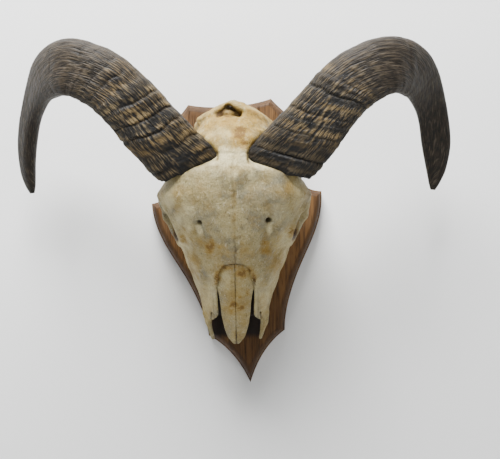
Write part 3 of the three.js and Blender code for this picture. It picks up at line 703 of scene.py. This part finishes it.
def oak_material():
    """Brown stained oak: long vertical figure, open pores and a worn satin varnish."""
    n = Nodes("oak_stained")
    figure = n.noise(n.place((1, 1, 0.06)), 85, 4, 0.6, 0.6)
    lines = n.noise(n.place((1, 1, 0.035)), 620, 3, 0.6)
    pores = n.noise(n.place((1, 1, 0.045)), 1500, 2, 0.5)
    wear = n.noise(n.place(), 28, 3, 0.6)
    pore = n.step(pores, 0.60, 0.70)
    x, z = (n.add("ShaderNodeSeparateXYZ", {0: n.place()}, output=axis) for axis in (0, 2))
    aside = n.math("ABSOLUTE", n.math("SUBTRACT", x, NOSE_SHADOW["middle"] * MM))
    # Painted shadow of the skull on the wood under the nose.
    stain_and_shade = 0.96
    for value, key in ((aside, "aside"), (z, "below"), (z, "above")):
        begins, full = NOSE_SHADOW[key]
        stain_and_shade = n.times(n.step(value, begins * MM, full * MM), stain_and_shade)
    color = n.coats(
        (0.074, 0.032, 0.009),
        (n.step(figure, 0.35, 0.65), (0.150, 0.072, 0.021)),
        (n.step(lines, 0.45, 0.65, 0, 0.7), (0.040, 0.018, 0.006)),
        (n.step(wear, 0.45, 0.7, 0, 0.35), (0.165, 0.098, 0.048)),
        (n.times(pore, 0.75), (0.016, 0.008, 0.003)),
        (n.times(n.attribute("edge"), 0.5), (0.026, 0.012, 0.004)),
        (stain_and_shade, (0.008, 0.004, 0.002)))
    height = n.weighted((lines, 0.5), (pore, -1))
    rough = n.step(wear, 0.3, 0.7, 0.55, 0.72)
    return n.finish(color, rough, height, 0.8, 0.0006, level=0.25)


# ---- stains, sutures, painted highlights and painted shade

# Stains as (across, up, half width, half height, strength).
OCHRE_SPOTS = [
    (-20.7, -0.9, 5, 6, 0.8), (-27.6, 3.7, 4, 4.5, 0.6), (-12.3, -3, 2.5, 2.5, 0.5),
    (24, 0, 5, 7, 0.7), (26.5, -5.5, 5, 6, 0.6), (-1.5, -52.5, 4, 3.5, 1.0),
    (4.5, -55.5, 3.5, 2.5, 0.95), (10.5, -42.5, 2.6, 3.5, 0.95), (4, -45.8, 2.4, 2, 0.7),
    (6.5, -24.5, 5, 4.5, 0.95), (-4, -19.5, 5.5, 3, 0.9), (-14, -29.5, 2.5, 3, 0.8),
    (15.5, -26, 1.8, 2.5, 0.9), (-3, -60, 4, 5, 0.5), (48, 10, 4, 6, 0.9), (5, 90, 7, 6, 1.2),
    (11, 82.5, 7, 5, 1.2), (0, 103, 32, 11, 0.5), (-14, 88, 14, 12, 0.25), (44, 43, 6, 12, 0.3),
    (36, 38, 4, 5, 0.4), (-45, 36, 5, 12, 0.22), (-43, 5, 4, 7, 0.5), (-35, -22, 6, 10, 0.35),
    (34, -18, 5, 10, 0.35), (0, 20, 2, 40, 0.2), (-8, -14, 14, 10, 0.25), (10, -8, 10, 9, 0.25),
    (0, -75, 8, 12, 0.2), (0, -50, 11, 18, 0.3), (-26, 40, 12, 16, 0.16), (22, 38, 12, 16, 0.12),
    (-24, -58, 4, 9, 0.25), (24, -55, 4, 9, 0.25), (0, 60, 16, 4, 0.2),
]
NASAL_ARCH = [(-16, -33), (-15, -25.5), (-9, -20), (0, -18.5), (9, -20.5), (15.5, -26), (16, -31)]
# Where the skull's hollows begin or end, as painted shade darkens them.
HOLLOWS = {
    "palate": {"half": 22.5, "low": -68, "high": -26},
    "nose": {"half": 20, "under_roof": 9, "out": 24},
    "socket": {"half": 57}, "pit": {"out": 94, "above": 70}, "slit": {"low": -67.5, "above": 38},
}
REAR = 84  # the rough bone of the braincase begins here
STAIN_RING = {"centre": (7.5, 83.5), "radius": 7, "width": 1.6}
# Pale bone and painted highlights, as (across, up, half width, half height, strength).
PALE_AND_HIGHLIGHT_SPOTS = [
    (0, 67, 24, 12, 1.0), (-12, 90, 12, 6, 0.35), (-22, 48, 16, 12, 0.1), (20, 45, 16, 12, 0.15),
    (-40, 30, 7, 14, 0.4), (38, 28, 8, 14, 0.3), (-29, 12, 2.5, 6, 0.9), (29.5, 12, 2.5, 6, 0.9),
    (-20, -44, 6, 18, 0.35), (20, -44, 6, 18, 0.35), (-43, 0, 7, 22, 0.6), (-54, 38, 7, 14, 0.6),
    (-47, 20, 6, 12, 0.5), (54, 40, 6, 12, 0.35), (-24, -52, 5, 14, 0.5), (24, -52, 5, 14, 0.5),
    (-8, -33, 5, 8, 0.25), (0, -70, 6, 10, 0.25), (43, 2, 6, 20, 0.35), (-34, -30, 5, 16, 0.4),
    (33, -32, 5, 16, 0.3),
]
WARM_SPOTS = [
    (0, 98, 40, 26, 1.0), (0, 66, 10, 10, 0.9), (52, 42, 12, 16, 0.5), (-52, 42, 12, 16, 0.4),
    (0, -50, 20, 40, 0.35), (-40, -10, 12, 24, 0.5), (40, -10, 12, 24, 0.5),
    (-27, -52, 9, 24, 0.5), (27, -52, 9, 24, 0.5),
]


def spots(points, table, seed):
    """How strongly each point is stained by a table of spots with uneven edges."""
    across, up, _ = points.T
    warp = noise(points, 7, seed) * 0.5 + noise(points, 2.6, seed + 1) * 0.3
    total = np.zeros(len(points))
    for x, z, wide, tall, strength in table:
        far = np.hypot((across - x) / wide, (up - z) / tall)
        total = np.maximum(total, strength * held(1.35 - far + warp))
    return total


def line_distance(points, stops):
    """How far each point lies from a line through (across, up) stops, as seen from the front."""
    across, up, _ = points.T
    return chain((across, up, 0), [((*stop, 0), 0) for stop in stops])


# The skull's seams as (across, up) stops: down the middle, across between the horns, and those
# that both sides of the face and head have.
MIDLINE = [(0.6, 73), (-0.4, 66), (-0.8, 52), (0.2, 38), (-0.3, 24), (0.4, 12), (1.2, 5), (0.2, 0),
           (1.4, -5), (0.4, -10), (1.0, -18)]
CORONAL = [(-17, 74), (-9, 73), (-3, 73.6), (2, 72.6), (8, 73.4), (16, 73)]
FACE_SEAMS = [
    [(17.6, -19), (21, -12), (27, -9), (31, -1), (38, 0), (43, 4)],
    [(17.6, -30), (23, -22), (31, -16), (38, -17)],
    [(15, 100), (22, 92), (27, 82)],
]


def wiggled(points, size, amount, seed):
    """Points moved a little across and up, so that lines drawn on them wander."""
    moved = points.copy()
    moved[:, 0] += amount * noise(points, size, seed)
    moved[:, 1] += amount * noise(points, size, seed + 1)
    return moved


def bone_masks(points, normals, dark):
    """How ochre, dark, pale and warm the bone is at each point, from 0 to 1: dark is painted shade,
    pale is pale bone with painted highlights.
    """
    across, up, out = points.T
    arch = bump(line_distance(wiggled(points, 5, 1.5, 60), NASAL_ARCH), 2.6)
    x, z = STAIN_RING["centre"]
    far = np.hypot(across - x, up - z) + noise(points, 4, 70) * 1.2
    rear = held((up - REAR) / 16)
    behind = held((-normals[:, 2] + 0.2) * 0.8)
    x, z, _ = CREST_LUMP[0]
    lump = 1.2 - np.hypot((across - x) / 6, (up - z) / 4)
    ochre = np.maximum.reduce([
        spots(points, OCHRE_SPOTS, 40), 0.85 * arch,
        0.55 * bump(far - STAIN_RING["radius"], STAIN_RING["width"]),
        rear * (0.40 + 0.30 * noise(points, 11, 71)), 0.30 * behind,
        0.9 * held(lump * 3) * (out > HOLLOWS["pit"]["above"]),
    ])
    pale = spots(points, PALE_AND_HIGHLIGHT_SPOTS, 80)
    warm = spots(points, WARM_SPOTS, 84)
    return {"ochre": ochre, "dark": held(dark), "pale": pale, "warm": warm}


# ---- bone pieces


def hollow_share(points, normals, field, reach):
    """How enclosed each point is: the share of free space missing just off the surface."""
    total = np.zeros(len(points))
    for step in (0.35, 0.7, 1.0):
        ahead = points + normals * reach * step
        total += held(1 - field(tuple(ahead.T)) / (reach * step))
    return total / 3


def seam_depth(points):
    """How deep the seams are at each point, from 0 to 1."""
    def seam(moved, stops, width):
        return bump(line_distance(moved, stops), width)

    both = wiggled(points, 2.4, 1.2, 94)
    both[:, 0] = np.abs(both[:, 0])
    seams = [seam(wiggled(points, 2.2, 0.9, 90), MIDLINE, 0.75),
             0.9 * seam(wiggled(points, 2.0, 0.8, 92), CORONAL, 0.75),
             *(0.5 * seam(both, stops, 0.7) for stops in FACE_SEAMS)]
    return np.maximum.reduce(seams) * (points[:, 2] > 40)


def bone_relief(points, seams):
    """How far each point is lifted off the smooth surface, in millimetres."""
    p = (np.abs(points[:, 0]), points[:, 1], points[:, 2])
    relief = 0.6 * noise(points, 12, 1) + 0.18 * noise(points, 4, 2) + 0.12 * noise(points, 1.8, 3)
    rear = held((points[:, 1] - REAR) / 10)
    relief += rear * (0.8 * noise(points, 8, 6) + 0.45 * noise(points, 3, 7))
    relief -= 1.6 * bump(np.maximum(chain(p, FACE_GROOVE) - 2, 0), 2.5)
    relief += 1.4 * bump(np.maximum(chain(p, FACE_RIDGE) - 2, 0), 2.2)
    pores = held(noise(points, 1.4, 4) - 0.55) * held(noise(points, 16, 5) + 0.3)
    return relief - 0.5 * seams - 1.0 * pores


def hollow_masks(points, normals):
    """How much painted shade each point has in the skull's hollows, and the shares of sockets and
    crest pit.
    """
    side, up, out = np.abs(points[:, 0]), points[:, 1], points[:, 2]
    palate, nose, socket, pit, slit = HOLLOWS.values()
    floor = held((NOSE["notch_floor"] + 4 - out) / 5) * held((palate["half"] - side) / 2)
    floor *= (up < palate["high"]) * held((up - palate["low"]) / 2) * (normals[:, 2] > -0.3)
    inside = held((along(FACE["roof"], up) - out - nose["under_roof"]) / 4)
    inside *= (side < nose["half"]) * (up < NOSE["notch_end"] + 4) * held((out - nose["out"]) / 6)
    eye = held(-ellipsoid((side, up, out), *ORBIT["hollow"]) / 2 + 0.8)
    eye *= held((socket["half"] - side) / 4)
    across, ragged_up, _ = wiggled(points, 3, 1.2, 76).T
    recess = held(0.9 - chain((across, ragged_up, 0 * out), CREST_PIT["stops"]) / 1.2)
    recess *= held((pit["out"] - out) / 5) * (out > pit["above"])
    cut = held(0.85 - chain((side, up, 0 * out), NOSE["slit"]["stops"]))
    cut *= (out > slit["above"]) * (up > slit["low"])
    dark = np.maximum.reduce([floor, inside, 0.78 * eye, 0.62 * recess, 0.7 * cut])
    return dark, eye, recess


def build_cranium(material):
    g = GRID
    low = (-g["half_width"], g["up"][0], g["out"][0])
    high = (g["half_width"], g["up"][1], g["out"][1])
    points, quads = mesh_field(skull_field, low, high, g["pitch"])
    normals = point_normals(points, quads)
    wide = hollow_share(points, normals, skull_field, 9.0)
    near = hollow_share(points, normals, skull_field, 3.0)
    seams = seam_depth(points)
    hollow, socket, pit = hollow_masks(points, normals)
    # Painted shade: the more enclosed a point is, the darker it is painted.
    enclosed = np.clip((wide - 0.45) * 1.1, 0, 0.75) + np.clip((near - 0.5) * 1.4, 0, 0.9)
    masks = bone_masks(points, normals, np.maximum(enclosed, hollow))
    # Painted shade in ochre brown: in creases, the eye sockets and the crest pit.
    crease_shade = 0.75 * held((near - 0.35) * 2.2)
    masks["ochre"] = np.maximum.reduce([masks["ochre"], crease_shade, socket, pit])
    crack = held((-points[:, 1] + 6) / 8) * bump(points[:, 0] - 0.6, 3)
    dark = held(masks["dark"] + seams * (0.22 + 0.5 * crack))
    masks["dark"] = blurred(dark, quads, 1)
    points = points + normals * bone_relief(points, seams)[:, None]
    add_piece("cranium_bone", placed(points), quads, material, ["cranium"], masks)


def both_sides(points, quads):
    """The right side's points and faces, and then their mirror image for the left."""
    yield "right", 1, points * (1, 1, 1), quads
    yield "left", -1, points * (-1, 1, 1), quads[:, ::-1]


def build_nasals(material):
    n = NASAL
    low = (n["gap"] / 2 - 1.2, n["tip"] - 3, 34)
    high = (n["half"][-1][1] + 3, n["root"] + 3, 92)

    def half_field(p):
        return meet(nasal_field(p), n["gap"] / 2 - p[0], 0.8)

    for side, sign, points, quads in both_sides(*mesh_field(half_field, low, high, n["pitch"])):
        normals = point_normals(points, quads)
        relief = 0.2 * noise(points, 6, 12) + 0.1 * noise(points, 2, 13)
        relief -= 0.8 * held(noise(points, 1.3, 14) - 0.6)
        masks = bone_masks(points, normals, np.zeros(len(points)))
        inner = bump(np.abs(points[:, 0]), 0.8)
        inner *= np.clip((-70 - points[:, 1]) / 12, 0.08, 0.7)
        masks["dark"] = held(masks["dark"] + inner)
        points = points + normals * relief[:, None]
        points[:, 0] = sign * np.maximum(np.abs(points[:, 0]) - 0.11, 0.05)
        add_piece(f"nasal_bone_{side}", placed(points), quads, material,
                  [f"nasal_{side}"], masks)


def tooth_field(p):
    """One row of cheek teeth, each folded into two lobes, worn level at the crown."""
    across, up, out = p
    t = TEETH
    share = held((up - t["front"][1]) / (t["back"][1] - t["front"][1]))
    middle = t["front"][0] + (t["back"][0] - t["front"][0]) * share
    middle = middle + t["bow"] * np.sin(share * np.pi)
    half = t["half"][0] + (t["half"][1] - t["half"][0]) * share
    cell = share * t["count"]
    fold = np.abs(np.sin(cell * np.pi * 2))
    gap = np.abs(np.sin(cell * np.pi))
    reach = half * (0.72 + 0.2 * fold ** 0.5) * np.minimum(1, 0.5 + 1.6 * gap ** 0.6)
    cusp = 1.1 * np.cos((across - middle) / half * np.pi * 1.5) * np.minimum(1, 1.5 * gap)
    side = np.abs(across - middle) - reach
    ends = np.abs(up - (t["front"][1] + t["back"][1]) / 2) - (t["back"][1] - t["front"][1]) / 2
    low = 1.6 - cusp - out
    return meet(meet(meet(side, ends, 2), low, 1.2), out - t["crown"] - 6, 2)


def build_teeth(material):
    t = TEETH
    low = (14, t["front"][1] - 3, 0.4)
    high = (42, t["back"][1] + 3, t["crown"] + 8)
    for side, _, points, quads in both_sides(*mesh_field(tooth_field, low, high, t["pitch"])):
        share = (points[:, 1] - t["front"][1]) / (t["back"][1] - t["front"][1])
        between = bump(np.abs(np.sin(share * t["count"] * np.pi)), 0.22)
        dark = held(between + 0.25 * noise(points, 2, 31))
        add_piece(f"cheek_teeth_{side}", placed(points), quads, material, [],
                  {"dark": dark})


# ---- horns


def catmull_rom(points, samples):
    """A centripetal Catmull-Rom curve at evenly spaced samples, and its length."""
    points = np.asarray(points, float)
    ends = (2 * points[0] - points[1], 2 * points[-1] - points[-2])
    padded = np.vstack([ends[0], points, ends[1]])
    dense = []
    for i in range(len(points) - 1):
        p0, p1, p2, p3 = padded[i:i + 4]
        gaps = [np.linalg.norm(b - a) ** 0.5 for a, b in ((p0, p1), (p1, p2), (p2, p3))]
        start = (p1 - p0) / gaps[0] - (p2 - p0) / (gaps[0] + gaps[1]) + (p2 - p1) / gaps[1]
        finish = (p2 - p1) / gaps[1] - (p3 - p1) / (gaps[1] + gaps[2]) + (p3 - p2) / gaps[2]
        start, finish = start * gaps[1], finish * gaps[1]
        t = np.linspace(0, 1, 60, endpoint=i == len(points) - 2)[:, None]
        a = 2 * p1 - 2 * p2 + start + finish
        b = -3 * p1 + 3 * p2 - 2 * start - finish
        dense.append(a * t ** 3 + b * t ** 2 + start * t + p1)
    dense = np.vstack(dense)
    length = np.r_[0, np.cumsum(np.linalg.norm(np.diff(dense, axis=0), axis=1))]
    at = np.linspace(0, length[-1], samples)
    return np.stack([np.interp(at, length, axis) for axis in dense.T], 1), length[-1]


def squared(values, power):
    return np.sign(values) * np.abs(values) ** power


def growth_rings(length, seed):
    """Where a horn's growth grooves lie along it, and how deep each is."""
    rng = np.random.default_rng(seed)
    at = [2.0]
    while at[-1] < 0.62 * length:
        at.append(at[-1] + rng.uniform(5, 11) * (1 + at[-1] / length))
    return np.array(at), 0.15 + 0.85 * rng.uniform(0, 1, len(at)) ** 2


def horn_frames(spec, count):
    """A horn's middle line, the three directions of its sections along it, and its length."""
    path = [(x, -THICKNESS - h, z) for x, z, h in horn_path(spec)]
    centre, length = catmull_rom(path, count + 1)
    ahead = unit(np.gradient(centre, axis=0))
    outward = np.array(HORN["outward"], float)
    faces = []
    for way in ahead:
        outward = unit(outward - outward @ way * way)
        faces.append(outward)
    faces = np.array(faces)
    twist = along(spec["twist"], np.linspace(0, 1, count + 1))[:, None]
    face = faces * np.cos(twist) + np.cross(ahead, faces) * np.sin(twist)
    return centre, ahead, np.cross(face, ahead), face, length


def horn_girth(share):
    return (along(HORN["width"], share) + along(HORN["depth"], share)) * 1.6


def horn_section(spec, share, cos, sin):
    """Half widths across and deep of each section, at each turn around it."""
    narrow = (1 + HORN["keel"] * sin) / (1 + HORN["keel"] / 2)
    squareness = along(HORN["squareness"], share)
    flare = 1 + spec["flare"] * held(1 - share / 0.3) ** 1.5
    flare = flare + spec["tip"] * bump(share - 0.87, 0.1)
    across = squared(cos, squareness) * narrow * along(HORN["width"], share) * flare
    return across, squared(sin, squareness) * along(HORN["depth"], share)


def horn_surface(spec, share, cos, sin, length):
    """A horn's relief, how tan its bands are, how much painted shade lies at its base rim and in
    its grooves, and how ragged its rim is.
    """
    seed = spec["seed"]
    reach = share * length
    circle = np.stack([reach * 0.35, cos * 30, sin * 30], -1)

    def rough(size, extra, stretch=(1, 1, 1)):
        return noise((circle * stretch).reshape(-1, 3), size, seed + extra).reshape(share.shape)

    def grain(size, extra, *axes):
        stack = np.stack([axis.ravel() for axis in axes], 1)
        return noise(stack, size, seed + extra).reshape(share.shape)

    place = reach + 2.2 * rough(16, 5) + 1.0 * rough(5, 6) + 0.5 * rough(2, 4)
    groove = np.zeros(share.shape)
    band = np.zeros(share.shape)
    for k, (at, strength) in enumerate(zip(*growth_rings(length, seed))):
        broken = held(0.62 + 1.1 * rough(11, 40 + k, (0.2, 1, 1)))
        groove = np.maximum(groove, strength * broken * bump(place - at, 1.1))
        tinted = held(0.5 + 1.3 * rough(13, 80 + k, (0.2, 1, 1)))
        band = np.maximum(band, (0.4 + 0.6 * strength) * tinted * bump(place - at - 3.6, 3.0))
    fade = held((0.62 - share) / 0.4)
    front = 0.30 + 0.70 * held(sin * 1.4 + 0.2)
    swell = along(HORN["swell"], share)
    fine = 1 - held((share - 0.9) / 0.1)
    girth = horn_girth(share)
    ridges = grain(6.5, 7, place, 0 * place, 0 * place)
    fibres = grain(1.3, 8, reach / 16, cos * girth / 3, sin * girth / 3)
    folds = grain(2.8, 30, place, circle[..., 1] * 0.12, circle[..., 2] * 0.12)
    relief = -1.5 * groove * fade * front + 0.9 * (ridges - 1) * swell * front
    relief += 0.45 * (folds - 0.6) * swell * (0.4 + 0.6 * front)
    relief += 0.5 * (rough(6, 20) - 1) * swell
    relief += 0.22 * (fibres - 1) * fine * (0.35 + 0.65 * swell)
    relief -= along(HORN["inset"], share) * fine
    relief -= 0.9 * held(1 - reach / 1.6) ** 2
    # Painted shade: near-black along the base rim, where the horn meets the bone, and in the growth
    # grooves.
    edge = held(held(1 - reach / 5) * 0.8 + 0.75 * groove * fade * front)
    return relief, band * fade, edge, 1.2 * rough(3, 9)


def tube_faces(rows, around):
    """Four-sided faces between the rows of a tube, and triangles to a hub at each end."""
    i = np.arange(rows)[:, None] * around
    j = np.arange(around)[None, :]
    k = (j + 1) % around
    quads = np.stack([i + j, i + k, i + around + k, i + around + j], -1).reshape(-1, 4)
    last = rows * around
    hub = last + around
    caps = []
    for a in range(around):
        b = (a + 1) % around
        caps += [(hub, b, a), (hub + 1, last + a, last + b)]
    return [*quads, *caps]


def build_horn(side, material):
    spec = HORN_SIDES[side]
    frames, rows, around = (HORN[key] for key in ("frames", "rows", "around"))
    centre, ahead, wide, face, length = horn_frames(spec, frames)
    share, turn = np.meshgrid(np.linspace(0, 1, rows + 1), np.arange(around) / around * 2 * np.pi,
                              indexing="ij")
    cos, sin = np.cos(turn), np.sin(turn)
    across, deep = horn_section(spec, share, cos, sin)
    relief, band, edge, ragged = horn_surface(spec, share, cos, sin, length)
    scale = np.maximum(1 + relief / np.sqrt(across ** 2 + deep ** 2 + 1e-6), 0.15)
    across, deep = across * scale, deep * scale
    slant = along(HORN["slant"], share) / length * spec["slant"]
    at = share - across * slant + (ragged / length) * held(1 - share * 20)
    beyond = (at - held(at)) * length
    index = held(at) * frames
    low = np.minimum(np.floor(index).astype(int), frames - 1)
    t = (index - low)[..., None]

    def between(table):
        return table[low] * (1 - t) + table[low + 1] * t

    points = (between(centre) + between(ahead) * beyond[..., None]
              + between(wide) * across[..., None] + between(face) * deep[..., None])
    points = points.reshape(-1, 3) * (spec["mirror"], 1, 1)
    points = np.vstack([points, points[:around].mean(0), points[-around:].mean(0)])
    faces = tube_faces(rows, around)
    if spec["mirror"] < 0:
        faces = [face[::-1] for face in faces]
    grain = np.stack([share * length, turn * horn_girth(share) / np.pi / 2, 0 * share], -1)

    def padded(values):
        """The values, and the first two again for the hubs."""
        return np.concatenate([values, values[:2]])

    masks = {
        "grain": padded(grain.reshape(-1, 3) * MM), "share": padded(share.ravel()),
        "band": padded(band.ravel()), "edge": padded(edge.ravel()),
        "tan": padded(along(spec["tan"], share).ravel()),
    }
    add_piece(f"horn_{side}", points * MM, faces, material,
              [f"horn_{side}_{part}" for part in ("base", "bend", "tip")], masks)


# ---- plaque


def shield_outline():
    """The shield's outline, clockwise from the middle of the top, as (across, up)."""
    half = [np.array(PLAQUE["top"], float)]
    for curve in PLAQUE["curves"]:
        stops = [half[-1], *(np.array(stop, float) for stop in curve)]
        for i in range(1, PLAQUE["curve_steps"] + 1):
            t = i / PLAQUE["curve_steps"]
            level = stops
            while len(level) > 1:
                level = [a * (1 - t) + b * t for a, b in zip(level, level[1:])]
            half.append(level[0])
    half = np.array(half)
    return np.vstack([half, half[-2:0:-1] * (-1, 1)])


def inset_outline(outline, inset):
    """Every point moved inwards by the inset, and none past the mitre of a nearby corner."""
    before = unit(outline - np.roll(outline, 1, 0))
    after = unit(np.roll(outline, -1, 0) - outline)
    a = np.stack([before[:, 1], -before[:, 0]], 1)
    b = np.stack([after[:, 1], -after[:, 0]], 1)
    dot = (a * b).sum(1)
    moved = outline + (a + b) * inset / (1 + dot)[:, None]
    count = len(outline)
    for corner in np.flatnonzero(dot < PLAQUE["sharp"]):
        for step in (-1, 1):
            way = after[corner] if step > 0 else -before[corner]
            for k in range(1, PLAQUE["curve_steps"]):
                i = (corner + step * k) % count
                if (moved[i] - moved[corner]) @ way < 0:
                    moved[i] = moved[corner]
    return moved


def shield_levels():
    """How far in and how far out each of the shield's outlines lies, from back to front."""
    lip, lip_width, cove, step = (PLAQUE[key] for key in ("lip", "lip_width", "cove", "round"))
    third = step / 3
    rim = [(step, 0), (third, third), (0, step), (0, lip - step), (third, lip - third), (step, lip)]
    turns = np.arange(PLAQUE["cove_steps"] + 1) / PLAQUE["cove_steps"] * math.pi / 2
    hollow = [(lip_width + cove * (1 - math.cos(turn)), lip + (THICKNESS - lip) * math.sin(turn))
              for turn in turns]
    return rim, [*hollow, (lip_width + cove + third, THICKNESS)]


def build_plaque(material):
    outline = shield_outline()
    rim, front = shield_levels()
    rings = []
    for inset, out in [*rim, *front]:
        flat = inset_outline(outline, inset)
        rings.append(np.stack([flat[:, 0], np.full(len(flat), -out), flat[:, 1]], 1))
    sides = len(outline)
    last = (len(rings) - 1) * sides
    faces = []
    for r in range(len(rings) - 1):
        for i in range(sides):
            a, b = r * sides + i, r * sides + (i + 1) % sides
            faces.append((a, a + sides, b + sides, b))
    faces += [tuple(range(sides)), tuple(range(last + sides - 1, last - 1, -1))]
    x, y, z = np.vstack(rings).T
    cos, sin = math.cos(PLAQUE["turn"]), math.sin(PLAQUE["turn"])
    points = np.stack([x * cos - z * sin + PLAQUE["shift"], y, x * sin + z * cos], 1)
    edge = np.full((len(rings), sides), 0.3)
    edge[len(rim):-2] = 1.0
    edge[-1] = 0
    piece = add_piece("shield_plaque", points * MM, faces, material, ["plaque"],
                      {"edge": edge.ravel()})
    whole = bmesh.new()
    whole.from_mesh(piece.data)
    bmesh.ops.remove_doubles(whole, verts=whole.verts, dist=0.02 * MM)
    whole.to_mesh(piece.data)
    whole.free()
    piece.data.set_sharp_from_angle(angle=PLAQUE["crease"])


# ---- stage

CAMERA = {"place": (12.9, -800, 11.7), "focal_px": 836, "width_px": 500, "roll": 0.5}
# The rest of the stage is in metres; each lamp has a size, a place and a power.
LAMPS = {"key": (0.7, (-0.2, -0.66, 1.10), 68), "fill": (1.5, (0.6, -1.9, 0.2), 7)}
STAGE = {"size": 6.0, "wall": 0.002, "floor": -1.2, "paint": (0.86, 0.865, 0.86, 1), "sky": 0.22}


def build_room():
    """A pale wall and floor, clear from behind, under an even white sky."""
    n = Nodes("stage_pale")
    facing = n.add("ShaderNodeNewGeometry", output="Backfacing")
    matt = n.add("ShaderNodeBsdfDiffuse", {"Color": STAGE["paint"]})
    clear = n.add("ShaderNodeBsdfTransparent")
    both = n.add("ShaderNodeMixShader", {0: facing, 1: matt, 2: clear})
    n.add("ShaderNodeOutputMaterial", {0: both})
    half = STAGE["size"] / 2
    corners = [(-half, -half, 0), (half, -half, 0), (half, half, 0), (-half, half, 0)]
    for name, place, turn in (("wall_sheet", (0, STAGE["wall"], 0), (math.pi / 2, 0, 0)),
                              ("floor", (0, 0, STAGE["floor"]), (0, 0, 0))):
        mesh = bpy.data.meshes.new(name)
        mesh.from_pydata(corners, [], [(0, 1, 2, 3)])
        mesh.materials.append(n.material)
        put(name, mesh, place, turn)
    world = bpy.data.worlds.new("studio")
    bpy.context.scene.world = world
    world.use_nodes = True
    background = world.node_tree.nodes["Background"]
    background.inputs["Color"].default_value = (1.0, 1.0, 1.0, 1)
    background.inputs["Strength"].default_value = STAGE["sky"]


def build_lamps():
    for name, (size, place, power) in LAMPS.items():
        light = bpy.data.lights.new(name, "AREA")
        light.size = size
        light.energy = power
        x, y, z = place
        # The lamp faces the origin.
        put(name, light, place, (math.atan2(math.hypot(x, y), z), 0, math.atan2(x, -y)))


def build_camera():
    camera = bpy.data.cameras.new("camera")
    camera.sensor_fit = "HORIZONTAL"
    camera.sensor_width = 36
    camera.lens = CAMERA["focal_px"] / CAMERA["width_px"] * camera.sensor_width
    camera.clip_start = 0.01
    eye = [v * MM for v in CAMERA["place"]]
    level = (math.pi / 2, math.radians(CAMERA["roll"]), 0)
    bpy.context.scene.camera = put("camera", camera, eye, level)


build_room()
build_lamps()
build_camera()
bone = bone_material()
build_cranium(bone)
build_nasals(bone)
build_teeth(enamel_material())
horn = horn_material()
for side in HORN_SIDES:
    build_horn(side, horn)
build_plaque(oak_material())
